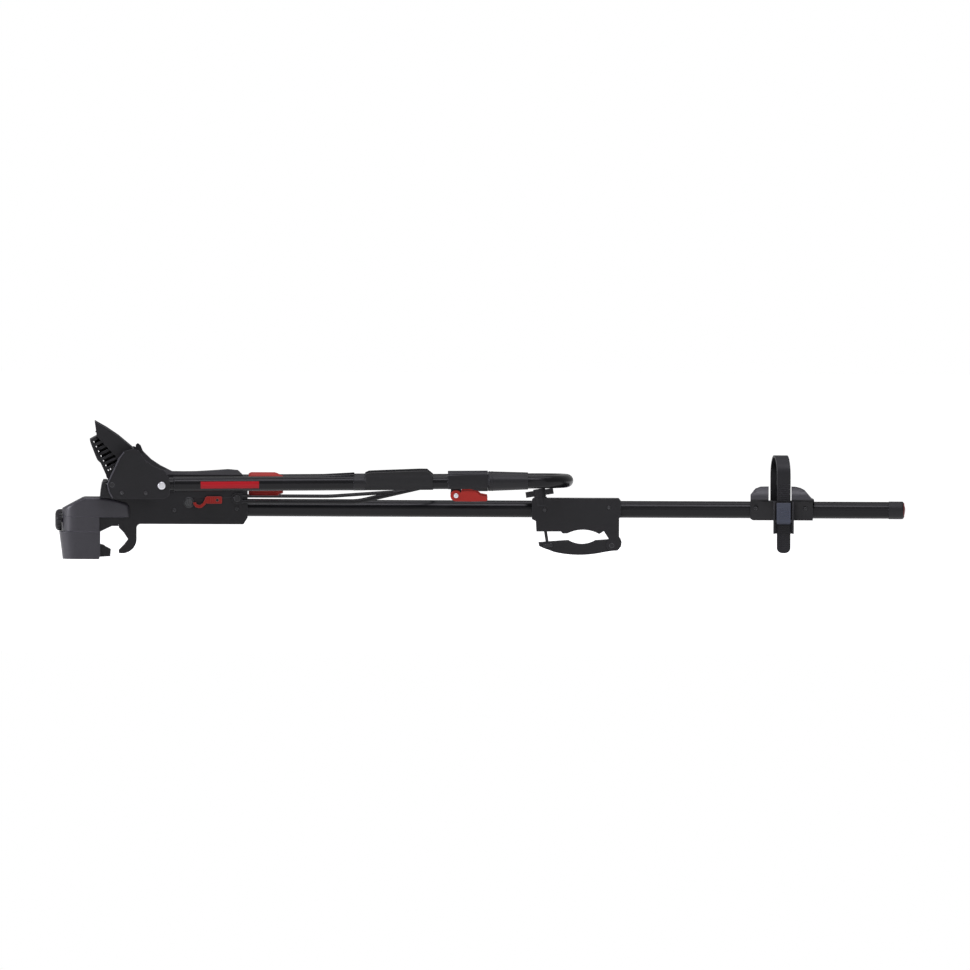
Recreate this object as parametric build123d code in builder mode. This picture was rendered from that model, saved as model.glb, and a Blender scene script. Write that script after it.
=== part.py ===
from build123d import *
from math import cos, radians, sin
import os

os.makedirs("parts", exist_ok=True)

# Roof mounted bike carrier, folded flat over its beam. Sizes are in millimetres.
# X runs along the beam from the front crossbar clamp to the rear end, Z is up, and the
# origin is the middle of the seat that lies on the front crossbar. The left side, for
# someone who looks forward along minus X, is at minus Y.

# Fits
running_play = 0.08
free_gap = 0.5
linkage_play = 0.6
overrun = 4.0
sides = (("left", -1), ("right", 1))

# Beam
tube_radius = 14.3
tube_wall = 2.0
tube_axis_z = 30.6
tube_front_x = 34.0
tube_rear_x = 1300.0
cap_radius = 15.0
cap_length = 25.4
cap_corner = 3.4
cap_plug_length = 22.0
lens_radius = 11.0
lens_seat_depth = 3.0
lens_crown = 2.6

# Base body: front arm, crossbar seat, fixed claw and the sleeve round the beam
base_half_width = 32.0
arm_front_x = -88.0
arm_heel_x = -25.0
arm_top_z = 15.2
arm_bottom_z = -9.6
seat_front_x = -5.0
seat_rear_x = 6.7
pad_thickness = 3.0
pad_end_gap = 0.2
claw_back_x = 36.6
claw_drop = 45.3
claw_root_radius = 7.0
claw_mouth_shares = [(0.19, 1.0), (0.18, 0.91), (0.445, 0.69), (0.62, 0.50), (0.41, 0.24)]
claw_lip_share = 0.055
claw_belly_shares = (0.80, 0.86)
claw_shoulder_share = 0.42
sleeve_floor = 12.6
sleeve_roof = 15.0
sleeve_nose_length = 7.0
sleeve_nose_height = 11.0
sleeve_bottom_z = tube_axis_z - tube_radius - sleeve_floor
sleeve_top_z = tube_axis_z + tube_radius + sleeve_roof

# Cradle: cross-member, front apron and the two cheeks
block_bottom_z = 49.0
block_top_z = sleeve_top_z
block_front_x = -25.2
block_rear_x = 64.0
cheek_inner_y = 83.0
cheek_thickness = 4.0
apron_height = 27.3
apron_length = 12.0
apron_shares = [(0.0, 0.0), (0.06, 0.35), (0.23, 0.775), (0.475, 1.0), (1.0, 1.0)]
cheek_front_x = -14.3
cheek_bottom_z = 47.1
cheek_length = 106.9
cheek_height = 84.4
cheek_shares = [
    (0.0, 0.29), (0.035, 0.12), (0.09, 0.0), (0.90, 0.0), (0.985, 0.06), (1.0, 0.20),
    (0.985, 0.42), (0.905, 0.573), (0.745, 0.648), (0.61, 0.76), (0.505, 0.955),
    (0.43, 1.0), (0.27, 0.945), (0.195, 0.83),
]

# Pivot of the hoop
pivot_x = 78.3
pivot_z = 69.5
rivet_radius = 5.0
rivet_head_radius = 6.7
rivet_head_height = 3.2
rivet_head_rounding = 2.0
eye_radius = 12.0
eye_width = 23.6

# Hoop: two lower legs and the U-shaped upper tube that telescopes in them
hoop_tilt = 0.58
hoop_spread = 70.0
leg_rise = 2.0
leg_radius = 11.1
leg_wall = 1.5
leg_length = 548.0
leg_bore_start = 16.0
hoop_radius = leg_radius - leg_wall - running_play
hoop_wall = 1.5
hoop_overlap = 118.0
hoop_start = leg_length - hoop_overlap
hoop_crown_half = 10.0
hoop_bend = hoop_spread - hoop_crown_half
hoop_tail = 5.1

# Sleeves at the ends of the upper tube
hoop_sleeve_gap = 1.5
hoop_sleeve_start = leg_length + hoop_sleeve_gap
hoop_sleeve_length = 66.0
hoop_sleeve_front_radius = 14.6
hoop_sleeve_rear_radius = 12.6
hoop_sleeve_taper_length = 60.0
hoop_reach = hoop_sleeve_start + hoop_sleeve_length + hoop_tail + hoop_bend

# Collars and cam levers at the ends of the lower legs
collar_length = 67.0
collar_start = leg_length - collar_length
collar_base = -9.2
collar_height = 27.0
collar_half_width = 14.0
collar_edge = 3.0
collar_lip_length = 14.0
collar_lip_slope = 15.0
collar_lip_drop = 3.6
cam_pin_setback = 13.5
cam_pin_along = collar_start + cam_pin_setback
cam_pin_drop = 20.0
cam_pin_radius = 3.9
cam_pin_half_length = 12.5
lug_half_width = 5.0
lug_radius = 8.8
cam_radius = 9.5
lever_length = 53.0
lever_height = 18.0
lever_half_width = 11.0
lever_shares = [
    (0.0, 0.0), (0.50, -0.03), (0.97, 0.0), (1.0, 0.12), (0.985, 0.42), (0.78, 0.53),
    (0.62, 0.97), (0.20, 1.0),
]
lever_slot_shares = [(-0.40, -0.80), (0.235, -0.80), (0.235, 1.60), (-0.40, 1.60)]
lever_edge = 1.2

# Tyre bumpers on the lower legs
bumper_length = 114.0
bumper_gap = 25.0
bumper_start = collar_start - bumper_gap - bumper_length
bumper_base = -10.0
bumper_height = 36.0
bumper_half_width = 13.0
bumper_shares = [
    (0.0, 0.0), (1.0, 0.0), (1.0, 0.66), (0.955, 0.77), (0.915, 0.88), (0.807, 0.887),
    (0.513, 0.858), (0.218, 0.83), (0.06, 0.81), (0.0, 0.73),
]
bumper_edge = 2.5

# Covers on the lower legs, each with a ridge that rises towards the bumper
cover_start = 20.0
cover_gap = 18.0
cover_end = bumper_start - cover_gap
cover_wall = 1.1
ridge_length = 74.0
ridge_rise = 2.2
ridge_half_width = 4.0

# Wheel scoop and its ribbed underside
scoop_hinge_x = -5.0
scoop_hinge_z = 70.5
scoop_pin_radius = 4.0
scoop_barrel_radius = 9.5
scoop_half_width = 50.0
scoop_cheek = 5.0
scoop_front_x = -33.4
scoop_bottom_z = 70.5
scoop_length = 65.3
scoop_height = 105.8
scoop_shares = [
    (-0.018, 1.0), (0.035, 0.765), (0.588, 0.41), (0.40, 0.08), (0.33, -0.02), (0.555, -0.02),
    (0.72, 0.26), (0.95, 0.49), (1.0, 0.558), (0.898, 0.613), (0.588, 0.771), (0.28, 0.897),
]
scoop_pocket_shares = [
    (0.12, 0.72), (0.13, 0.82), (0.28, 0.82), (0.58, 0.69), (0.90, 0.555), (0.64, 0.27),
    (0.50, 0.12), (0.36, 0.12), (0.45, 0.38),
]
scoop_web = 9.0
trough_radius = 46.0
trough_depth = 15.0
trough_front_share = 0.03
trough_top_share = 0.985
trough_rear_share = 0.98
trough_low_share = 0.565
scoop_slot_half = 7.5
ladder_shares = [
    (0.035, 0.765), (-0.142, 0.705), (-0.119, 0.65), (0.009, 0.446), (0.055, 0.385),
    (0.138, 0.338), (0.267, 0.165), (0.30, 0.10), (0.39, 0.07), (0.588, 0.41),
]
ladder_half_width = 47.0
ladder_lean = 27.0
ladder_rail = 3.0
ladder_slot = 4.4
ladder_slit = 4.5
ladder_pitch = 8.9
ladder_slots = 7
ladder_first = 7.2
ladder_web = 4.0
ladder_reach = 60.0

# Link that tilts the scoop
tilt_arm = 27.0
tilt_half_angle = 10.0
link_pin_radius = 3.0
link_pin_half_length = 19.0
link_eye_radius = 7.0
link_half_width = 6.0
drawbar_z = 70.2
drawbar_radius = 4.0
drawbar_front_x = 34.0
nut_front_x = 134.0
nut_length = 30.0
nut_half_side = 8.0
nut_rod_depth = 8.0
screw_tip_x = 146.0
screw_radius = 5.0
screw_flange_radius = 7.8

# Cover of the tension screw, with the fin in front
spine_front_x = 38.6
spine_length = 178.1
spine_height = 78.0
spine_half_width = 22.0
spine_wall = 3.2
spine_shares = [
    (0.03, 0.0), (0.0, 0.5), (-0.018, 0.86), (-0.033, 0.955), (-0.003, 1.012),
    (0.024, 0.965), (0.045, 0.845), (0.123, 0.668), (0.208, 0.538), (0.321, 0.408),
    (0.435, 0.405), (0.56, 0.410), (0.70, 0.430), (0.849, 0.455), (0.943, 0.437),
    (1.0, 0.309), (1.0, 0.0),
]
spine_cavity_shares = [
    (0.05, -0.2), (0.05, 0.30), (0.33, 0.33), (0.84, 0.35), (0.975, 0.28), (0.975, -0.2),
]
spine_section_shares = [
    (-1.0, 0.0), (-1.0, 0.34), (-0.80, 0.45), (-0.40, 0.80), (-0.30, 1.02), (0.30, 1.02),
    (0.40, 0.80), (0.80, 0.45), (1.0, 0.34), (1.0, 0.0),
]
sleeve_tail = 6.3
sleeve_rear_x = spine_front_x + spine_length + sleeve_tail

# Tension knob
knob_gap = 1.5
knob_length = 58.0
knob_radius = 20.6
knob_tail_radius = 14.5
knob_tail_length = 16.0
knob_nose_length = 4.0
knob_flutes = 10
knob_flute_radius = 5.0
knob_flute_depth = 2.2
knob_bore_depth = 30.0

# Front clamp: cover, housing, dial, spindle, nut and sliding jaw
cover_front_x = -88.5
cover_length = 113.4
cover_base_z = arm_top_z
cover_height = 33.1
cover_half_width = 36.0
cover_shell = 2.6
cover_lip_width = 7.0
cover_shares = [
    (0.0, 0.0), (0.0, 0.42), (0.30, 0.965), (0.335, 1.0), (0.555, 1.0), (0.80, 0.87),
    (0.945, 0.72), (0.985, 0.60), (1.0, 0.05), (0.995, 0.0),
]
cover_edge = 5.0
dial_radius = 18.2
dial_nose_radius = 8.0
dial_gap = 0.6
dial_rim = 3.2
dial_dome = 8.4
dial_axis_z = 9.3
dial_notches = 16
dial_notch_radius = 1.6
spindle_radius = 4.0
spindle_rear_x = -30.0
housing_front_x = -93.6
housing_rear_x = -24.4
housing_foot_z = -55.7
housing_half_width = 36.0
housing_corner = 24.0
housing_wall = 3.2
housing_lean = 6.1
housing_heel = 2.2
housing_heel_height = 6.0
cavity_front_x = -85.0
cavity_corner = 18.0
jaw_front_x = -58.0
jaw_half_width = 27.5
jaw_corner = 16.0
jaw_floor_gap = 0.6
jaw_top_gap = 1.6
jaw_head_length = 51.5
jaw_head_shares = [
    (0.0, 0.0), (0.66, 0.0), (0.985, 0.025), (1.0, 0.30), (0.80, 0.43), (0.65, 0.48),
    (0.53, 0.70), (0.61, 0.88), (0.65, 1.0), (0.0, 1.0),
]
jaw_teeth = 5
jaw_tooth_radius = 1.3
jaw_horn_front_x = -50.0
jaw_horn_rear_x = -38.0
jaw_horn_half_width = 8.0
nut_block_half = 8.0
horn_slot_front_x = -78.0
horn_slot_rear_x = -35.5
horn_slot_half = 9.0

# Release latch and lock barrel on the left side of the base
latch_setback = 51.0
latch_pin_x = sleeve_rear_x - latch_setback
latch_pin_z = 44.5
latch_pin_radius = 2.5
latch_pin_inset = 8.0
latch_thickness = 8.0
latch_gap = 2.0
latch_nose = 19.1
latch_front_x = latch_pin_x - latch_nose
latch_block_length = 27.0
latch_block_height = 12.0
latch_block_edge = 2.0
latch_stroke = 5.0
latch_hook_shares = [(0.04, 0.86), (-0.13, -0.05), (-0.38, -0.42), (-0.64, -0.20), (-0.70, 0.16)]
spring_outer_radius = 5.0
spring_side_gap = 0.3
barrel_setback = 98.7
barrel_x = sleeve_rear_x - barrel_setback
barrel_z = 40.0
barrel_radius = 7.0
barrel_depth = 10.0
barrel_proud = 4.5
barrel_edge = 1.0
keyhole_length = 6.0
keyhole_width = 1.6
keyhole_depth = 2.0

# Wheel bail: a loop of wire that lies under the hoop, with a thinner rail on each side
bail_setback = 18.0
bail_pivot_x = sleeve_rear_x - bail_setback
bail_pivot_z = 47.4
bail_spread = 36.5
bail_wire_radius = 3.25
bail_eye_width = 6.5
bail_eye_radius = 9.0
bail_eye_rear = 9.0
bail_low_z = 41.8
bail_flat_length = 203.0
bail_ramp_x = bail_pivot_x + bail_flat_length
bail_ramp_length = 126.0
bail_end_x = bail_ramp_x + bail_ramp_length
bail_end_z = 71.0
bail_ramp_radius = 100.0
bail_corner_radius = 28.0
bail_rail_radius = 2.0
bail_rail_z = 50.7
bail_rail_flat_length = 156.0
bail_rail_ramp_x = bail_pivot_x + bail_rail_flat_length
bail_rail_ramp_length = 123.0
bail_rail_ramp_radius = 300.0
bail_pin_radius = 3.0
bail_pin_inset = 8.0
bail_pin_head = 1.8
bail_pin_head_radius = 5.5

# Rear crossbar clamp
mid_front_x = 700.6
mid_length = 146.2
mid_half_width = 31.0
mid_top_z = 49.2
mid_bottom_z = -38.0
mid_jaw_half_width = 27.0
mid_shares = [
    (0.0, 0.97), (0.0, 0.60), (0.045, 0.565), (0.052, 0.362), (0.333, 0.364), (0.355, 0.325),
    (0.41, 0.328), (0.775, 0.318), (0.827, 0.375), (0.872, 0.255), (0.885, 0.235),
    (0.885, 0.195), (1.015, 0.195), (1.003, 0.25), (1.003, 0.62), (1.02, 0.66), (1.02, 0.95),
    (0.995, 1.0), (0.02, 1.0),
]
lens_apex_shares = [(0.585, 0.40)]
mid_hinge_inset = 11.8
mid_hinge_x = mid_front_x + mid_length - mid_hinge_inset
mid_hinge_z = -29.6
mid_hinge_radius = 4.0
mid_knuckle_radius = 9.0
mid_pad_thickness = 2.4
mid_pad_half_width = 25.0
mid_slot_rise = 2.0
mid_cheek_shares = [
    (0.885, 0.25), (0.86, 0.10), (0.895, -0.005), (0.985, 0.0), (1.024, 0.075),
    (1.032, 0.15), (1.018, 0.22), (1.003, 0.25),
]
mid_jaw_inset = 11.2
mid_jaw_front_x = mid_front_x + mid_jaw_inset
mid_jaw_bottom_z = -45.3
mid_jaw_tail = 10.0
mid_jaw_length = mid_hinge_x + mid_jaw_tail - mid_jaw_front_x
mid_jaw_height = 25.2
mid_jaw_top_shares = [(0.063, 0.44), (0.008, 0.57), (0.0, 0.79), (0.267, 0.90), (0.376, 0.937)]
mid_jaw_bed_shares = [(0.376, 0.937), (0.546, 0.682), (0.716, 0.937)]
mid_jaw_heel_share = (0.884, 1.0)
mid_jaw_belly_shares = [(0.824, 0.18), (0.53, -0.01), (0.198, 0.175)]
bolt_tilt = 9.0
bolt_radius = 2.5
bolt_side_y = -22.0
bolt_inset = 12.6
bolt_top_x = mid_front_x + bolt_inset
bolt_top_z = 59.0
bolt_length = 95.0
bolt_hole_play = 0.5
jaw_slot_play = 2.6
jaw_nut_half_length = 7.5
jaw_nut_half_width = 9.0
jaw_nut_thickness = 6.0
jaw_nut_drop = 90.2
jaw_nut_play = 1.4
jaw_nut_shift = 0.8
boss_radius = 11.0
boss_top_drop = 8.6
boss_bottom_drop = 22.0
knob_hub_radius = 10.0
knob_hub_top = 6.0
knob_hub_bottom = 8.2
wing_half_length = 23.5
wing_half_width = 4.5
wing_top = 4.0
wing_bottom = 5.6
wing_edge = 1.5

# Rear wheel tray and its strap
tray_front_x = 1067.6
tray_length = 105.0
tray_half_width = 38.0
tray_waist = 30.0
tray_bottom_z = 13.8
tray_top_z = 70.0
tray_step_share = 0.57
tray_shares = [
    (0.0, 0.05), (0.04, 0.0), (1.0, 0.0), (1.0, 0.52), (1.022, 0.55), (1.015, 0.61),
    (0.975, 0.65), (0.928, 0.751), (0.865, 0.887), (0.80, 0.95), (0.72, 0.985),
    (0.655, 0.99), (0.655, tray_step_share), (0.292, tray_step_share), (0.292, 0.99),
    (0.16, 0.985), (0.08, 0.925), (0.0, 0.74),
]
trough_wheel_radius = 34.0
trough_wheel_z = 84.5
strap_x = 1118.0
strap_yaw = 9.5
strap_width = 22.5
strap_thickness = 3.0
strap_arch_z = 87.0
strap_foot_z = 20.0
strap_tail_z = -41.1
strap_tail_rounding = 9.0
anchor_pin_radius = 2.5
anchor_pin_head_radius = 5.0
anchor_pin_z = 27.0
anchor_pin_inset = 9.0
anchor_head_height = 1.6
buckle_front_x = 1106.2
buckle_length = 34.6
buckle_base = 2.0
buckle_bottom_z = -8.3
buckle_height = 53.6
buckle_depth = 18.0
buckle_wall = 3.0
buckle_cheek_shares = [(0.0, 0.0), (1.0, 0.0), (1.0, 0.75), (0.72, 1.0), (0.0, 1.0)]
buckle_pin_radius = 2.5
buckle_pin_z = 13.0
buckle_pin_y = -43.5
lever_plate_top_z = 43.7
lever_plate_gap = 2.6
lever_plate_thickness = 5.0
lever_hub_radius = 5.5
lever_thumb_rise = 3.0


# The points of a side outline, from shares of its length and height.
def side_points(shares, front_x, bottom_z, length, height):
    return [(front_x + along * length, bottom_z + up * height) for along, up in shares]


# A vertical plane across the carrier at a given Y, seen from the left side.
def side_plane(y):
    return Plane.XZ.offset(-y)


# The vertex of the sketch in hand that lies nearest to a point of the side view.
def corner_near(sketch, x, z):
    return sketch.vertices().sort_by_distance(Vector(x, z, 0))[0]


def finish(piece, name):
    piece.part.label = name
    export_step(piece.part, f"parts/{name}.step")


# Beam and its rear end
with BuildPart() as main_tube:
    with BuildSketch(Plane.YZ.offset(tube_front_x)):
        with Locations((0, tube_axis_z)):
            Circle(tube_radius)
            Circle(tube_radius - tube_wall, mode=Mode.SUBTRACT)
    extrude(amount=tube_rear_x - tube_front_x)
finish(main_tube, "main_tube")

with BuildPart() as end_cap:
    with BuildSketch(Plane.YZ.offset(tube_rear_x)):
        with Locations((0, tube_axis_z)):
            Circle(cap_radius)
    extrude(amount=cap_length)
    fillet(end_cap.faces().sort_by(Axis.X)[-1].edges(), cap_corner)
    with BuildSketch(Plane.YZ.offset(tube_rear_x)):
        with Locations((0, tube_axis_z)):
            Circle(tube_radius - tube_wall)
    extrude(amount=-cap_plug_length)
    with BuildSketch(Plane.YZ.offset(tube_rear_x + cap_length)):
        with Locations((0, tube_axis_z)):
            Circle(lens_radius)
    extrude(amount=-lens_seat_depth, mode=Mode.SUBTRACT)
finish(end_cap, "end_cap")

with BuildPart() as end_reflector:
    lens_back_x = tube_rear_x + cap_length - lens_seat_depth
    with BuildSketch(Plane.XZ):
        with BuildLine():
            lens_rim_x = tube_rear_x + cap_length
            Polyline(
                (lens_rim_x, tube_axis_z + lens_radius),
                (lens_back_x, tube_axis_z + lens_radius),
                (lens_back_x, tube_axis_z),
                (lens_rim_x + lens_crown, tube_axis_z),
            )
            RadiusArc(
                (lens_rim_x + lens_crown, tube_axis_z),
                (lens_rim_x, tube_axis_z + lens_radius),
                -(lens_radius**2 + lens_crown**2) / (2 * lens_crown),
            )
        make_face()
    revolve(axis=Axis((0, 0, tube_axis_z), (1, 0, 0)))
finish(end_reflector, "end_reflector")

# Base body, with the slot that the jaw's nut runs in
with BuildPart() as base_body:
    claw = side_points(claw_mouth_shares, 0, 0, claw_back_x, -claw_drop)
    cover_back = side_points(
        cover_shares[:3:-1], cover_front_x, cover_base_z, cover_length, cover_height
    )
    with BuildSketch(Plane.XZ) as base_outline:
        with BuildLine():
            claw_tip = claw[0]
            claw_shoulder = (claw_back_x, -claw_drop * claw_shoulder_share)
            Polyline(
                *claw,
                (seat_rear_x, -claw_drop * claw_lip_share),
                (seat_rear_x, pad_thickness),
                (seat_front_x, pad_thickness),
                (seat_front_x, 0),
                (arm_heel_x, arm_bottom_z),
                (arm_front_x, arm_bottom_z),
                (arm_front_x, arm_top_z),
                *cover_back,
                (cover_back[-1][0], block_bottom_z),
                (block_rear_x, block_bottom_z),
                (block_rear_x, sleeve_top_z),
                (sleeve_rear_x, sleeve_top_z),
                (sleeve_rear_x, sleeve_bottom_z + sleeve_nose_height),
                (sleeve_rear_x - sleeve_nose_length, sleeve_bottom_z),
                (claw_back_x, sleeve_bottom_z),
                claw_shoulder,
            )
            ThreePointArc(
                claw_shoulder,
                (claw_back_x * claw_belly_shares[0], -claw_drop * claw_belly_shares[1]),
                claw_tip,
            )
        make_face()
        fillet(corner_near(base_outline, claw_back_x, sleeve_bottom_z), claw_root_radius)
    extrude(amount=base_half_width, both=True)
    with BuildSketch(Plane.YZ.offset(tube_front_x)):
        with Locations((0, tube_axis_z)):
            Circle(tube_radius)
    extrude(amount=sleeve_rear_x - tube_front_x + overrun, mode=Mode.SUBTRACT)
    with BuildSketch(Plane.XY.offset(arm_bottom_z - overrun)):
        with Locations(((horn_slot_front_x + horn_slot_rear_x) / 2, 0)):
            Rectangle(horn_slot_rear_x - horn_slot_front_x, 2 * horn_slot_half)
    extrude(amount=arm_top_z - arm_bottom_z + 2 * overrun, mode=Mode.SUBTRACT)
    with BuildSketch(Plane.YZ.offset(arm_front_x - overrun)):
        with Locations((0, dial_axis_z)):
            Circle(spindle_radius + running_play)
    extrude(amount=spindle_rear_x - arm_front_x + overrun + free_gap, mode=Mode.SUBTRACT)
    with BuildSketch(side_plane(-base_half_width)):
        with Locations((barrel_x, barrel_z)):
            Circle(barrel_radius + running_play)
    extrude(amount=-barrel_depth, mode=Mode.SUBTRACT)
    with BuildSketch(side_plane(-base_half_width)):
        with Locations((latch_pin_x, latch_pin_z)):
            Circle(latch_pin_radius)
    extrude(amount=-latch_pin_inset, mode=Mode.SUBTRACT)
    for side, hand in sides:
        with BuildSketch(side_plane(hand * base_half_width)):
            with Locations((bail_pivot_x, bail_pivot_z)):
                Circle(bail_pin_radius)
        extrude(amount=hand * bail_pin_inset, mode=Mode.SUBTRACT)
finish(base_body, "base_body")

with BuildPart() as saddle_pad:
    with BuildSketch(Plane.XY):
        with Locations(((seat_front_x + seat_rear_x - pad_end_gap) / 2, 0)):
            Rectangle(seat_rear_x - pad_end_gap - seat_front_x, 2 * base_half_width)
    extrude(amount=pad_thickness)
finish(saddle_pad, "saddle_pad")

# Cradle
with BuildPart() as cradle_block:
    with BuildSketch(Plane.XZ):
        with BuildLine():
            Polyline(
                *side_points(
                    apron_shares, block_front_x, block_bottom_z, apron_length, apron_height
                ),
                (scoop_hinge_x, block_top_z),
                (block_rear_x, block_top_z),
                (block_rear_x, block_bottom_z),
                close=True,
            )
        make_face()
        with Locations((scoop_hinge_x, scoop_hinge_z)):
            Circle(scoop_barrel_radius + free_gap, mode=Mode.SUBTRACT)
    extrude(amount=cheek_inner_y, both=True)
finish(cradle_block, "cradle_block")

for side, hand in sides:
    with BuildPart() as cradle_plate:
        outer_y = hand * (cheek_inner_y + cheek_thickness)
        with BuildSketch(side_plane(outer_y)):
            with BuildLine():
                Polyline(
                    *side_points(
                        cheek_shares, cheek_front_x, cheek_bottom_z, cheek_length, cheek_height
                    ),
                    close=True,
                )
            make_face()
            with Locations((pivot_x, pivot_z)):
                Circle(rivet_radius, mode=Mode.SUBTRACT)
            with Locations((scoop_hinge_x, scoop_hinge_z)):
                Circle(scoop_pin_radius, mode=Mode.SUBTRACT)
        extrude(amount=hand * cheek_thickness)
    finish(cradle_plate, f"cradle_plate_{side}")

with BuildPart() as scoop_hinge_pin:
    with BuildSketch(Plane.XZ):
        with Locations((scoop_hinge_x, scoop_hinge_z)):
            Circle(scoop_pin_radius)
    extrude(amount=cheek_inner_y + cheek_thickness, both=True)
finish(scoop_hinge_pin, "scoop_hinge_pin")

# The two rivets that the hoop swings on, each with a head outside and inside
with BuildPart() as hoop_rivets:
    eye_inner_y = cheek_inner_y - free_gap - eye_width
    for side, hand in sides:
        outer_y = hand * (cheek_inner_y + cheek_thickness)
        with BuildSketch(side_plane(outer_y)):
            with Locations((pivot_x, pivot_z)):
                Circle(rivet_radius)
        extrude(amount=outer_y - hand * (eye_inner_y - free_gap))
        with BuildSketch(side_plane(outer_y)):
            with Locations((pivot_x, pivot_z)):
                Circle(rivet_head_radius)
        extrude(amount=-hand * rivet_head_height)
        with BuildSketch(side_plane(hand * (eye_inner_y - free_gap))):
            with Locations((pivot_x, pivot_z)):
                Circle(rivet_head_radius)
        extrude(amount=hand * rivet_head_height)
    rivet_faces = hoop_rivets.faces().filter_by(GeomType.PLANE).sort_by(Axis.Y)
    fillet([rivet_faces[0].edges()[0], rivet_faces[-1].edges()[0]], rivet_head_rounding)
finish(hoop_rivets, "hoop_rivets")

# Planes of the hoop: along its legs, seen from the side, and flat in its own plane
leg_along = Vector(cos(radians(hoop_tilt)), 0, sin(radians(hoop_tilt)))
leg_up = Vector(-sin(radians(hoop_tilt)), 0, cos(radians(hoop_tilt)))
hoop_pivot = Vector(pivot_x, 0, pivot_z)
leg_axis = Axis((pivot_x, 0, pivot_z), (leg_along.X, leg_along.Y, leg_along.Z))


def leg_section(along, y):
    middle = hoop_pivot + leg_along * along + leg_up * leg_rise + Vector(0, y, 0)
    return Plane(origin=middle, x_dir=(0, 1, 0), z_dir=leg_along)


def hoop_side(y):
    return Plane(origin=hoop_pivot + Vector(0, y, 0), x_dir=leg_along, z_dir=(0, -1, 0))


hoop_flat = Plane(origin=hoop_pivot + leg_up * leg_rise, x_dir=leg_along, z_dir=leg_up)

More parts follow.
